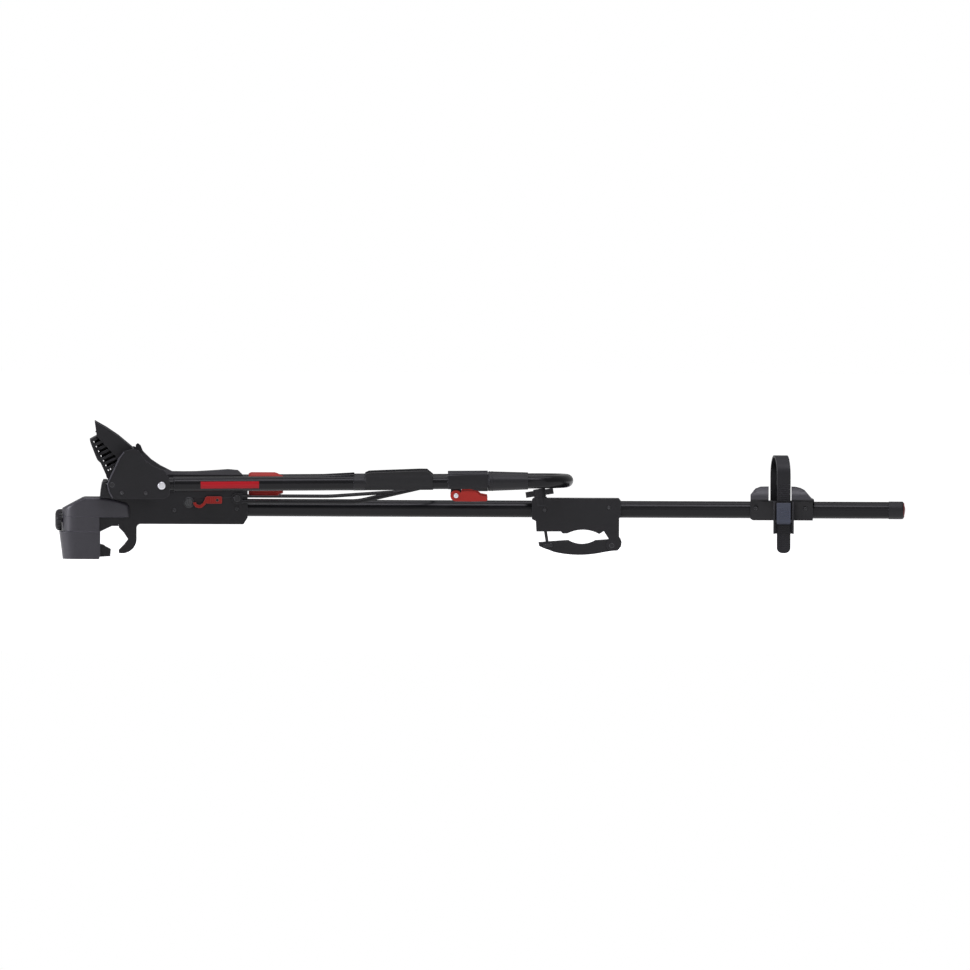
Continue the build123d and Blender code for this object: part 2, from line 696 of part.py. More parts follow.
for side, hand in sides:
    leg_y = hand * hoop_spread
    with BuildPart() as hoop_leg:
        with BuildSketch(leg_section(0, leg_y)):
            Circle(leg_radius)
        extrude(amount=leg_length)
        with BuildSketch(hoop_side(hand * (cheek_inner_y - free_gap))):
            Circle(eye_radius)
        extrude(amount=hand * eye_width)
        with BuildSketch(leg_section(leg_bore_start, leg_y)):
            Circle(leg_radius - leg_wall)
        extrude(amount=leg_length, mode=Mode.SUBTRACT)
        with BuildSketch(hoop_side(hand * cheek_inner_y)):
            Circle(rivet_radius + running_play)
        extrude(amount=hand * (eye_width + overrun), mode=Mode.SUBTRACT)
    finish(hoop_leg, f"hoop_leg_{side}")

    with BuildPart() as leg_cover:
        with BuildSketch(leg_section(cover_start, leg_y)):
            Circle(leg_radius + cover_wall)
        extrude(amount=cover_end - cover_start)
        with BuildSketch(hoop_side(leg_y)):
            with BuildLine():
                ridge_low = leg_rise + leg_radius - ridge_rise
                Polyline(
                    (cover_end - ridge_length, ridge_low),
                    (cover_end - ridge_length, leg_rise + leg_radius),
                    (cover_end, leg_rise + leg_radius + cover_wall + ridge_rise),
                    (cover_end, ridge_low),
                    close=True,
                )
            make_face()
        extrude(amount=ridge_half_width, both=True)
        with BuildSketch(leg_section(cover_start - overrun, leg_y)):
            Circle(leg_radius)
        extrude(amount=cover_end - cover_start + 2 * overrun, mode=Mode.SUBTRACT)
    finish(leg_cover, f"leg_cover_{side}")

    with BuildPart() as tyre_bumper:
        with BuildSketch(hoop_side(leg_y)):
            with BuildLine():
                Polyline(
                    *side_points(
                        bumper_shares, bumper_start, bumper_base, bumper_length, bumper_height
                    ),
                    close=True,
                )
            make_face()
        extrude(amount=bumper_half_width, both=True)
        long_edges = tyre_bumper.faces().filter_by(Axis.Y).edges()
        fillet(long_edges, bumper_edge)
        with BuildSketch(leg_section(bumper_start - overrun, leg_y)):
            Circle(leg_radius)
        extrude(amount=bumper_length + 2 * overrun, mode=Mode.SUBTRACT)
    finish(tyre_bumper, f"tyre_bumper_{side}")

    with BuildPart() as leg_collar:
        with BuildSketch(hoop_side(leg_y)):
            with Locations((collar_start + collar_length / 2, collar_base + collar_height / 2)):
                Rectangle(collar_length, collar_height)
        extrude(amount=collar_half_width, both=True)
        fillet(leg_collar.edges().filter_by(leg_axis), collar_edge)
        with BuildSketch(hoop_side(leg_y)):
            with BuildLine():
                lip_start = leg_length - collar_lip_length
                lip_bottom = collar_base - collar_lip_drop
                Polyline(
                    (lip_start - collar_lip_slope, collar_base),
                    (lip_start, lip_bottom),
                    (leg_length, lip_bottom),
                    (leg_length, 0),
                    (lip_start - collar_lip_slope, 0),
                    close=True,
                )
            make_face()
        extrude(amount=collar_half_width - collar_edge, both=True)
        with BuildSketch(hoop_side(leg_y)):
            with Locations((cam_pin_along, -cam_pin_drop)):
                Circle(lug_radius)
            with Locations((cam_pin_along, (collar_base - cam_pin_drop) / 2)):
                Rectangle(2 * lug_radius, cam_pin_drop + collar_base)
        extrude(amount=lug_half_width, both=True)
        with BuildSketch(leg_section(collar_start - overrun, leg_y)):
            Circle(leg_radius)
        extrude(amount=collar_length + 2 * overrun, mode=Mode.SUBTRACT)
        with BuildSketch(hoop_side(leg_y)):
            with Locations((cam_pin_along, -cam_pin_drop)):
                Circle(cam_pin_radius)
        extrude(amount=cam_pin_half_length, both=True, mode=Mode.SUBTRACT)
    finish(leg_collar, f"leg_collar_{side}")

    with BuildPart() as hoop_sleeve:
        taper_start = hoop_sleeve_start + hoop_sleeve_length - hoop_sleeve_taper_length
        with BuildSketch(leg_section(hoop_sleeve_start, leg_y)):
            Circle(hoop_sleeve_front_radius)
        extrude(amount=taper_start - hoop_sleeve_start)
        with BuildSketch(leg_section(taper_start, leg_y)):
            Circle(hoop_sleeve_front_radius)
        with BuildSketch(leg_section(hoop_sleeve_start + hoop_sleeve_length, leg_y)):
            Circle(hoop_sleeve_rear_radius)
        loft()
        with BuildSketch(leg_section(hoop_sleeve_start - overrun, leg_y)):
            Circle(leg_radius)
        extrude(amount=hoop_sleeve_length + 2 * overrun, mode=Mode.SUBTRACT)
    finish(hoop_sleeve, f"hoop_sleeve_{side}")

    with BuildPart() as cam_lever:
        with BuildSketch(hoop_side(leg_y)) as lever_sketch:
            with Locations((cam_pin_along, -cam_pin_drop)):
                Circle(cam_radius)
            with BuildLine():
                Polyline(
                    *side_points(
                        lever_shares, cam_pin_along, -cam_pin_drop - cam_radius,
                        lever_length, lever_height,
                    ),
                    close=True,
                )
            make_face()
        extrude(amount=lever_half_width, both=True)
        fillet(cam_lever.faces().filter_by(Axis.Y).edges(), lever_edge)
        with BuildSketch(hoop_side(leg_y)):
            with BuildLine():
                Polyline(
                    *side_points(
                        lever_slot_shares, cam_pin_along, -cam_pin_drop,
                        lever_length, lever_height,
                    ),
                    close=True,
                )
            make_face()
        extrude(amount=lug_half_width + free_gap, both=True, mode=Mode.SUBTRACT)
        with BuildSketch(hoop_side(leg_y)):
            with Locations((cam_pin_along, -cam_pin_drop)):
                Circle(cam_pin_radius + running_play)
        extrude(amount=cam_pin_half_length, both=True, mode=Mode.SUBTRACT)
    finish(cam_lever, f"cam_lever_{side}")

with BuildPart() as cam_pins:
    for side, hand in sides:
        with BuildSketch(hoop_side(hand * hoop_spread)):
            with Locations((cam_pin_along, -cam_pin_drop)):
                Circle(cam_pin_radius)
        extrude(amount=cam_pin_half_length, both=True)
finish(cam_pins, "cam_pins")

# The U is as thick as the legs, and its ends are drawn down to slide inside them
with BuildPart() as upper_hoop:
    with BuildLine(hoop_flat) as hoop_path:
        FilletPolyline(
            (hoop_sleeve_start, -hoop_spread),
            (hoop_reach, -hoop_spread),
            (hoop_reach, hoop_spread),
            (hoop_sleeve_start, hoop_spread),
            radius=hoop_bend,
        )
    with BuildSketch(leg_section(hoop_sleeve_start, -hoop_spread)):
        Circle(leg_radius)
        Circle(hoop_radius - hoop_wall / 2, mode=Mode.SUBTRACT)
    sweep(path=hoop_path.wires()[0])
    for hand in (-1, 1):
        with BuildSketch(leg_section(hoop_start, hand * hoop_spread)):
            Circle(hoop_radius)
            Circle(hoop_radius - hoop_wall, mode=Mode.SUBTRACT)
        extrude(amount=hoop_sleeve_start - hoop_start)
finish(upper_hoop, "upper_hoop")

# Wheel scoop: a beak with a trough for the tyre, hollow between its cheeks and its web
with BuildPart() as wheel_scoop:
    with BuildSketch(Plane.XZ):
        with BuildLine():
            Polyline(
                *side_points(
                    scoop_shares, scoop_front_x, scoop_bottom_z, scoop_length, scoop_height
                ),
                close=True,
            )
        make_face()
        with Locations((scoop_hinge_x, scoop_hinge_z)):
            Circle(scoop_barrel_radius)
    extrude(amount=scoop_half_width, both=True)
    trough_front = (
        scoop_front_x + trough_front_share * scoop_length,
        scoop_bottom_z + trough_top_share * scoop_height,
    )
    trough_rear = (
        scoop_front_x + trough_rear_share * scoop_length,
        scoop_bottom_z + trough_low_share * scoop_height,
    )
    trough_run = Vector(trough_rear[0] - trough_front[0], 0, trough_rear[1] - trough_front[1])
    trough_normal = Vector(-trough_run.Z, 0, trough_run.X).normalized()
    trough_lift = trough_radius - trough_depth
    trough_start = (
        Vector(trough_front[0], 0, trough_front[1])
        + trough_normal * trough_lift
        - trough_run
    )
    with BuildSketch(Plane(origin=trough_start, x_dir=(0, 1, 0), z_dir=trough_run)):
        Circle(trough_radius)
    extrude(amount=3 * trough_run.length, mode=Mode.SUBTRACT)
    for hand in (-1, 1):
        with BuildSketch(side_plane(hand * (scoop_half_width - scoop_cheek))):
            with BuildLine():
                Polyline(
                    *side_points(
                        scoop_pocket_shares, scoop_front_x, scoop_bottom_z,
                        scoop_length, scoop_height,
                    ),
                    close=True,
                )
            make_face()
        extrude(
            amount=hand * (scoop_half_width - scoop_cheek - scoop_slot_half - scoop_web / 2),
            mode=Mode.SUBTRACT,
        )
    link_pin_x = scoop_hinge_x + tilt_arm * sin(radians(tilt_half_angle))
    link_pin_z = scoop_hinge_z + tilt_arm * cos(radians(tilt_half_angle))
    with BuildSketch(Plane.XZ):
        with Locations((scoop_hinge_x, scoop_hinge_z)):
            Circle(scoop_pin_radius + running_play)
        with Locations((link_pin_x, link_pin_z)):
            Circle(link_pin_radius + linkage_play)
    extrude(amount=scoop_half_width + overrun, both=True, mode=Mode.SUBTRACT)
    with BuildSketch(Plane.XZ):
        with Locations((link_pin_x, scoop_hinge_z + link_eye_radius)):
            Rectangle(scoop_length, 2 * tilt_arm + 2 * link_eye_radius)
    extrude(amount=scoop_slot_half, both=True, mode=Mode.SUBTRACT)
finish(wheel_scoop, "wheel_scoop")

# Ribbed underside of the scoop: a rail down the front with rungs square to it
with BuildPart() as scoop_ladder:
    with BuildSketch(Plane.XZ):
        with BuildLine():
            Polyline(
                *side_points(
                    ladder_shares, scoop_front_x, scoop_bottom_z, scoop_length, scoop_height
                ),
                close=True,
            )
        make_face()
    extrude(amount=ladder_half_width, both=True)
    ladder_top = side_points(
        ladder_shares[1:2], scoop_front_x, scoop_bottom_z, scoop_length, scoop_height
    )[0]
    ladder_along = Vector(cos(radians(ladder_lean)), 0, sin(radians(ladder_lean)))
    for hand in (-1, 1):
        rung_plane = Plane(
            origin=Vector(ladder_top[0], hand * (ladder_half_width + overrun), ladder_top[1]),
            x_dir=ladder_along,
            z_dir=(0, -hand, 0),
        )
        with BuildSketch(rung_plane):
            for slot in range(ladder_slots):
                down = ladder_first + slot * ladder_pitch
                with Locations((ladder_rail + ladder_reach / 2, hand * down)):
                    Rectangle(ladder_reach, ladder_slot)
        extrude(amount=ladder_half_width + overrun - ladder_web, mode=Mode.SUBTRACT)
        with BuildSketch(rung_plane):
            for slot in range(ladder_slots):
                down = ladder_first + slot * ladder_pitch
                with Locations((ladder_rail + ladder_slit / 2, hand * down)):
                    Rectangle(ladder_slit, ladder_slot)
        extrude(amount=ladder_half_width + overrun, mode=Mode.SUBTRACT)
    with BuildSketch(Plane.XZ):
        with Locations((scoop_hinge_x, scoop_hinge_z)):
            Circle(scoop_barrel_radius + free_gap)
    extrude(amount=ladder_half_width + overrun, both=True, mode=Mode.SUBTRACT)
    link_room = link_eye_radius + 2 * free_gap
    with BuildSketch(Plane.XZ):
        with Locations((link_pin_x, link_pin_z)):
            Circle(link_room)
        with Locations((link_pin_x - link_room + ladder_reach / 2, link_pin_z - tilt_arm)):
            Rectangle(ladder_reach, 2 * tilt_arm)
    extrude(amount=scoop_slot_half, both=True, mode=Mode.SUBTRACT)
    with BuildSketch(Plane.XZ):
        with Locations((link_pin_x, link_pin_z)):
            Circle(link_pin_radius + linkage_play)
    extrude(amount=link_pin_half_length + free_gap, both=True, mode=Mode.SUBTRACT)
finish(scoop_ladder, "scoop_ladder")

# Link that tilts the scoop: drawbar with a raised eye, its pin, and the nut behind
with BuildPart() as drawbar:
    eye_x = link_pin_x
    eye_z = link_pin_z
    neck_top_z = drawbar_z + drawbar_radius
    neck_low_z = drawbar_z - drawbar_radius
    with BuildSketch(Plane.XZ):
        with BuildLine():
            Polyline(
                (drawbar_front_x, neck_low_z),
                (drawbar_front_x, neck_top_z),
                (eye_x + 3 * link_eye_radius, neck_top_z + link_eye_radius / 2),
                (eye_x + link_eye_radius, eye_z),
                (eye_x - link_eye_radius / 2, eye_z),
                (eye_x + 2 * link_eye_radius, neck_low_z + link_eye_radius / 2),
                (eye_x + 3 * link_eye_radius, neck_low_z),
                close=True,
            )
        make_face()
        with Locations((eye_x, eye_z)):
            Circle(link_eye_radius)
    extrude(amount=link_half_width, both=True)
    with BuildSketch(Plane.YZ.offset(drawbar_front_x)):
        with Locations((0, drawbar_z)):
            Circle(drawbar_radius)
    extrude(amount=nut_front_x + nut_rod_depth - drawbar_front_x)
    with BuildSketch(Plane.XZ):
        with Locations((eye_x, eye_z)):
            Circle(link_pin_radius)
    extrude(amount=link_half_width + overrun, both=True, mode=Mode.SUBTRACT)
finish(drawbar, "drawbar")

with BuildPart() as drawbar_pin:
    with BuildSketch(Plane.XZ):
        with Locations((link_pin_x, link_pin_z)):
            Circle(link_pin_radius)
    extrude(amount=link_pin_half_length, both=True)
finish(drawbar_pin, "drawbar_pin")

with BuildPart() as tension_nut:
    with BuildSketch(Plane.YZ.offset(nut_front_x)):
        with Locations((0, drawbar_z)):
            Rectangle(2 * nut_half_side, 2 * nut_half_side)
            Circle(drawbar_radius, mode=Mode.SUBTRACT)
    extrude(amount=nut_rod_depth)
    with BuildSketch(Plane.YZ.offset(nut_front_x + nut_rod_depth)):
        with Locations((0, drawbar_z)):
            Rectangle(2 * nut_half_side, 2 * nut_half_side)
            Circle(screw_radius + running_play, mode=Mode.SUBTRACT)
    extrude(amount=nut_length - nut_rod_depth)
finish(tension_nut, "tension_nut")

knob_front_x = sleeve_rear_x + knob_gap
spine_rear_x = spine_front_x + spine_length
with BuildPart() as tension_screw:
    with BuildSketch(Plane.YZ.offset(screw_tip_x)):
        with Locations((0, drawbar_z)):
            Circle(screw_radius)
    extrude(amount=knob_front_x + knob_bore_depth - screw_tip_x)
    with BuildSketch(Plane.YZ.offset(spine_rear_x + free_gap)):
        with Locations((0, drawbar_z)):
            Circle(screw_flange_radius)
    extrude(amount=knob_front_x - spine_rear_x - free_gap)
finish(tension_screw, "tension_screw")

# Cover of the tension screw: open below, narrowing to a fin, with a mouth for the drawbar
with BuildPart() as spine_housing:
    with BuildSketch(Plane.XZ):
        with BuildLine():
            Polyline(
                *side_points(
                    spine_shares, spine_front_x, sleeve_top_z, spine_length, spine_height
                ),
                close=True,
            )
        make_face()
    extrude(amount=spine_half_width, both=True)
    with BuildSketch(Plane.YZ.offset(spine_front_x - overrun)):
        with BuildLine():
            Polyline(
                *side_points(
                    spine_section_shares, 0, sleeve_top_z, spine_half_width, spine_height
                ),
                close=True,
            )
        make_face()
    extrude(amount=spine_length + 2 * overrun, mode=Mode.INTERSECT)
    with BuildSketch(Plane.XZ):
        with BuildLine():
            Polyline(
                *side_points(
                    spine_cavity_shares, spine_front_x, sleeve_top_z, spine_length, spine_height
                ),
                close=True,
            )
        make_face()
    extrude(amount=spine_half_width - spine_wall, both=True, mode=Mode.SUBTRACT)
    mouth_half = drawbar_radius + free_gap
    with BuildSketch(Plane.YZ.offset(spine_front_x - overrun)):
        with Locations((0, drawbar_z)):
            Circle(mouth_half)
        with Locations((0, (sleeve_top_z - overrun + drawbar_z) / 2)):
            Rectangle(2 * mouth_half, drawbar_z - sleeve_top_z + overrun)
    extrude(amount=spine_length / 2, mode=Mode.SUBTRACT)
    with BuildSketch(Plane.YZ.offset(spine_rear_x + overrun)):
        with Locations((0, drawbar_z)):
            Circle(screw_radius + running_play)
    extrude(amount=-2 * overrun - spine_wall, mode=Mode.SUBTRACT)
finish(spine_housing, "spine_housing")

with BuildPart() as tension_knob:
    with BuildSketch(Plane.XZ):
        with BuildLine():
            knob_tail_x = knob_front_x + knob_length - knob_tail_length
            Polyline(
                (knob_front_x, drawbar_z),
                (knob_front_x, drawbar_z + knob_radius - knob_nose_length / 2),
                (knob_front_x + knob_nose_length, drawbar_z + knob_radius),
                (knob_tail_x, drawbar_z + knob_radius),
            )
            Spline(
                (knob_tail_x, drawbar_z + knob_radius),
                (knob_front_x + knob_length, drawbar_z + knob_tail_radius),
                tangents=[(1, 0), (knob_tail_length, knob_tail_radius - knob_radius)],
                tangent_scalars=[1, 1],
            )
            Polyline(
                (knob_front_x + knob_length, drawbar_z + knob_tail_radius),
                (knob_front_x + knob_length, drawbar_z),
                (knob_front_x, drawbar_z),
            )
        make_face()
    revolve(axis=Axis((0, 0, drawbar_z), (1, 0, 0)))
    with BuildSketch(Plane.YZ.offset(knob_front_x + knob_nose_length)):
        with Locations((0, drawbar_z)):
            with PolarLocations(knob_radius + knob_flute_radius - knob_flute_depth, knob_flutes):
                Circle(knob_flute_radius)
    extrude(amount=knob_length, mode=Mode.SUBTRACT)
    with BuildSketch(Plane.YZ.offset(knob_front_x)):
        with Locations((0, drawbar_z)):
            Circle(screw_radius)
    extrude(amount=knob_bore_depth, mode=Mode.SUBTRACT)
finish(tension_knob, "tension_knob")

# Front cover: a moulded shell, open below
with BuildPart() as front_cover:
    with BuildSketch(Plane.XZ):
        with BuildLine():
            Polyline(
                *side_points(
                    cover_shares, cover_front_x, cover_base_z, cover_length, cover_height
                ),
                close=True,
            )
        make_face()
    extrude(amount=cover_half_width, both=True)
    cover_top_edges = front_cover.faces().filter_by(Axis.Y).edges().filter_by_position(
        Axis.Z, cover_base_z + cover_shell, cover_base_z + 2 * cover_height
    )
    fillet(cover_top_edges, cover_edge)
    with BuildSketch(Plane.XZ):
        with BuildLine():
            Polyline(
                *side_points(
                    cover_shares, cover_front_x, cover_base_z, cover_length, cover_height
                ),
                close=True,
            )
        make_face()
        offset(amount=-cover_shell, kind=Kind.INTERSECTION)
    extrude(amount=cover_half_width - cover_shell, both=True, mode=Mode.SUBTRACT)
    with BuildSketch(Plane.XY.offset(cover_base_z - overrun)):
        with Locations((cover_front_x + cover_length / 2, 0)):
            Rectangle(
                cover_length - 2 * cover_lip_width, 2 * (cover_half_width - cover_lip_width)
            )
    extrude(amount=overrun + 2 * cover_shell, mode=Mode.SUBTRACT)
finish(front_cover, "front_cover")

# Clamp housing: tall and round at the front corners, hollow for the jaw's carriage
with BuildPart() as clamp_housing:
    with BuildSketch(Plane.XZ):
        with BuildLine():
            Polyline(
                (housing_front_x, arm_bottom_z),
                (housing_front_x + housing_lean, housing_foot_z),
                (housing_rear_x - housing_heel, housing_foot_z),
                (housing_rear_x, housing_foot_z + housing_heel_height),
                (housing_rear_x, arm_bottom_z),
                close=True,
            )
        make_face()
    extrude(amount=housing_half_width, both=True)
    front_face = clamp_housing.faces().sort_by(Axis.X)[0]
    fillet(front_face.edges().filter_by(Axis.Y, reverse=True), housing_corner)
    with BuildSketch(Plane.XY.offset(arm_bottom_z + overrun)):
        cavity_length = housing_rear_x + overrun + cavity_corner - cavity_front_x
        with Locations((cavity_front_x + cavity_length / 2, 0)):
            RectangleRounded(cavity_length, 2 * (jaw_half_width + free_gap), cavity_corner)
    extrude(
        amount=-(arm_bottom_z + overrun - housing_foot_z - housing_wall),
        mode=Mode.SUBTRACT,
    )
finish(clamp_housing, "clamp_housing")

# Dial of the front clamp: a domed disc with a notched rim, on the end of its spindle
dial_rear_x = arm_front_x - dial_gap
dial_axis = Axis((0, 0, dial_axis_z), (1, 0, 0))
spindle_front_x = dial_rear_x - dial_rim - dial_dome / 2
with BuildPart() as clamp_dial:
    with BuildSketch(Plane.XZ):
        with BuildLine():
            Polyline(
                (dial_rear_x, dial_axis_z),
                (dial_rear_x, dial_axis_z + dial_radius),
                (dial_rear_x - dial_rim, dial_axis_z + dial_radius),
            )
            Spline(
                (dial_rear_x - dial_rim, dial_axis_z + dial_radius),
                (dial_rear_x - dial_rim - dial_dome, dial_axis_z + dial_nose_radius),
                tangents=[(-1, 0), (0, -1)],
            )
            Polyline(
                (dial_rear_x - dial_rim - dial_dome, dial_axis_z + dial_nose_radius),
                (dial_rear_x - dial_rim - dial_dome, dial_axis_z),
                (dial_rear_x, dial_axis_z),
            )
        make_face()
    revolve(axis=dial_axis)
    with BuildSketch(Plane.YZ.offset(dial_rear_x + overrun)):
        with Locations((0, dial_axis_z)):
            with PolarLocations(dial_radius, dial_notches):
                Circle(dial_notch_radius)
    extrude(amount=-overrun - dial_rim - dial_dome, mode=Mode.SUBTRACT)
    with BuildSketch(Plane.YZ.offset(dial_rear_x)):
        with Locations((0, dial_axis_z)):
            Circle(spindle_radius)
    extrude(amount=spindle_front_x - dial_rear_x, mode=Mode.SUBTRACT)
finish(clamp_dial, "clamp_dial")

with BuildPart() as clamp_spindle:
    with BuildSketch(Plane.YZ.offset(spindle_front_x)):
        with Locations((0, dial_axis_z)):
            Circle(spindle_radius)
    extrude(amount=spindle_rear_x - spindle_front_x)
finish(clamp_spindle, "clamp_spindle")

# Sliding jaw, with teeth towards the crossbar and a horn that carries its nut
jaw_bottom_z = housing_foot_z + housing_wall + jaw_floor_gap
jaw_top_z = arm_bottom_z - jaw_top_gap
nut_bottom_z = dial_axis_z - nut_block_half
with BuildPart() as sliding_jaw:
    with BuildSketch(Plane.XZ):
        jaw_points = side_points(
            jaw_head_shares, jaw_front_x, jaw_bottom_z, jaw_head_length, jaw_top_z - jaw_bottom_z
        )
        with BuildLine():
            Polyline(*jaw_points, close=True)
        make_face()
        for first, last in ((jaw_points[4], jaw_points[5]), (jaw_points[5], jaw_points[6])):
            for tooth in range(jaw_teeth):
                share = (tooth + 1) / (jaw_teeth + 1)
                with Locations((
                    first[0] + share * (last[0] - first[0]),
                    first[1] + share * (last[1] - first[1]),
                )):
                    Circle(jaw_tooth_radius)
    extrude(amount=jaw_half_width, both=True)
    jaw_front_corners = sliding_jaw.faces().sort_by(Axis.X)[0].edges().filter_by(Axis.Z)
    fillet(jaw_front_corners, jaw_corner)
    with BuildSketch(Plane.XZ):
        with Locations(((jaw_horn_front_x + jaw_horn_rear_x) / 2, (jaw_top_z + nut_bottom_z) / 2)):
            Rectangle(jaw_horn_rear_x - jaw_horn_front_x, nut_bottom_z - jaw_top_z)
    extrude(amount=jaw_horn_half_width, both=True)
finish(sliding_jaw, "sliding_jaw")

with BuildPart() as clamp_nut:
    with BuildSketch(Plane.YZ.offset(jaw_horn_front_x)):
        with Locations((0, dial_axis_z)):
            Rectangle(2 * nut_block_half, 2 * nut_block_half)
            Circle(spindle_radius + running_play, mode=Mode.SUBTRACT)
    extrude(amount=jaw_horn_rear_x - jaw_horn_front_x)
finish(clamp_nut, "clamp_nut")

# Release latch: a block on a pin, with a hooked trigger in front
latch_outer_y = -base_half_width - latch_gap - latch_thickness
with BuildPart() as release_latch:
    with BuildSketch(side_plane(latch_outer_y)):
        with Locations((latch_front_x + latch_block_length / 2, latch_pin_z)):
            RectangleRounded(latch_block_length, latch_block_height, latch_block_edge)
        with BuildLine() as hook_line:
            Spline(
                *side_points(
                    latch_hook_shares, latch_front_x, latch_pin_z - latch_block_height / 2,
                    latch_block_length, latch_block_height,
                )
            )
        trace(hook_line.edges(), line_width=latch_stroke)
        with Locations((latch_pin_x, latch_pin_z)):
            Circle(latch_pin_radius + running_play, mode=Mode.SUBTRACT)
    extrude(amount=-latch_thickness)
finish(release_latch, "release_latch")

with BuildPart() as latch_pin:
    with BuildSketch(side_plane(latch_outer_y)):
        with Locations((latch_pin_x, latch_pin_z)):
            Circle(latch_pin_radius)
    extrude(amount=-latch_thickness - latch_gap - latch_pin_inset)
finish(latch_pin, "latch_pin")

with BuildPart() as latch_spring:
    with BuildSketch(side_plane(-base_half_width)):
        with Locations((latch_pin_x, latch_pin_z)):
            Circle(spring_outer_radius)
            Circle(latch_pin_radius, mode=Mode.SUBTRACT)
    extrude(amount=latch_gap - spring_side_gap)
finish(latch_spring, "latch_spring")

with BuildPart() as lock_barrel:
    with BuildSketch(side_plane(-base_half_width - barrel_proud)):
        with Locations((barrel_x, barrel_z)):
            Circle(barrel_radius)
    extrude(amount=-barrel_depth - barrel_proud)
    fillet(lock_barrel.faces().sort_by(Axis.Y)[0].edges(), barrel_edge)
    with BuildSketch(side_plane(-base_half_width - barrel_proud)):
        with Locations((barrel_x, barrel_z)):
            Rectangle(keyhole_width, keyhole_length)
    extrude(amount=-keyhole_depth, mode=Mode.SUBTRACT)
finish(lock_barrel, "lock_barrel")

# Wheel bail: a low loop of thick wire, and a thinner rail above it that runs into it
bail_start_x = bail_pivot_x + bail_pin_radius + running_play
with BuildPart() as wheel_bail:
    with BuildLine() as low_path:
        FilletPolyline(
            (bail_start_x + bail_wire_radius, -bail_spread, bail_low_z),
            (bail_ramp_x, -bail_spread, bail_low_z),
            (bail_end_x, -bail_spread, bail_end_z),
            (bail_end_x, bail_spread, bail_end_z),
            (bail_ramp_x, bail_spread, bail_low_z),
            (bail_start_x + bail_wire_radius, bail_spread, bail_low_z),
            radius=[
                bail_ramp_radius, bail_corner_radius, bail_corner_radius, bail_ramp_radius
            ],
        )
    with BuildSketch(Plane(
        origin=(bail_start_x + bail_wire_radius, -bail_spread, bail_low_z), z_dir=(1, 0, 0)
    )):
        Circle(bail_wire_radius)
    sweep(path=low_path.wires()[0])
    rail_end_x = bail_rail_ramp_x + bail_rail_ramp_length
    low_slope = (bail_end_z - bail_low_z) / bail_ramp_length
    rail_end_z = bail_low_z + low_slope * (rail_end_x - bail_ramp_x)
    for side, hand in sides:
        rail_y = hand * bail_spread
        with BuildLine() as rail_path:
            FilletPolyline(
                (bail_start_x + bail_wire_radius, rail_y, bail_rail_z),
                (bail_rail_ramp_x, rail_y, bail_rail_z),
                (rail_end_x, rail_y, rail_end_z),
                radius=bail_rail_ramp_radius,
            )
        with BuildSketch(Plane(
            origin=(bail_start_x + bail_wire_radius, rail_y, bail_rail_z), z_dir=(1, 0, 0)
        )):
            Circle(bail_rail_radius)
        sweep(path=rail_path.wires()[0])
        with BuildSketch(side_plane(hand * (bail_spread + bail_eye_width / 2))):
            with Locations((bail_pivot_x, bail_pivot_z)):
                Circle(bail_eye_radius)
            with Locations((bail_pivot_x + bail_eye_rear / 2, bail_pivot_z)):
                Rectangle(bail_eye_rear, 2 * bail_eye_radius)
        extrude(amount=hand * bail_eye_width)
        with BuildSketch(side_plane(hand * (bail_spread + bail_eye_width))):
            with Locations((bail_pivot_x, bail_pivot_z)):
                Circle(bail_pin_radius + running_play)
        extrude(amount=hand * 2 * bail_eye_width, mode=Mode.SUBTRACT)
finish(wheel_bail, "wheel_bail")

with BuildPart() as bail_pins:
    for side, hand in sides:
        head_y = bail_spread + bail_eye_width / 2 + free_gap
        with BuildSketch(side_plane(hand * head_y)):
            with Locations((bail_pivot_x, bail_pivot_z)):
                Circle(bail_pin_radius)
        extrude(amount=hand * (head_y - base_half_width + bail_pin_inset))
        with BuildSketch(side_plane(hand * head_y)):
            with Locations((bail_pivot_x, bail_pivot_z)):
                Circle(bail_pin_head_radius)
        extrude(amount=-hand * bail_pin_head)
finish(bail_pins, "bail_pins")

# Rear crossbar clamp. The bolt leans in the side view and stands beside the beam.
bolt_down = Vector(sin(radians(bolt_tilt)), 0, -cos(radians(bolt_tilt)))
bolt_cross = Vector(cos(radians(bolt_tilt)), 0, sin(radians(bolt_tilt)))
bolt_top = Vector(bolt_top_x, bolt_side_y, bolt_top_z)


# A plane square to the bolt, at a distance down from the bolt's top.
def bolt_section(down):
    return Plane(origin=bolt_top + bolt_down * down, x_dir=bolt_cross, z_dir=bolt_down)


# The crescent between an arc and the same arc moved up by a pad's thickness.
def crescent(front, apex, rear, rise):
    lifted = [(x, z + rise) for x, z in (rear, apex, front)]
    with BuildSketch(Plane.XZ) as outline:
        with BuildLine():
            ThreePointArc(front, apex, rear)
            Line(rear, lifted[0])
            ThreePointArc(*lifted)
            Line(lifted[2], front)
        make_face()
    return outline.sketch


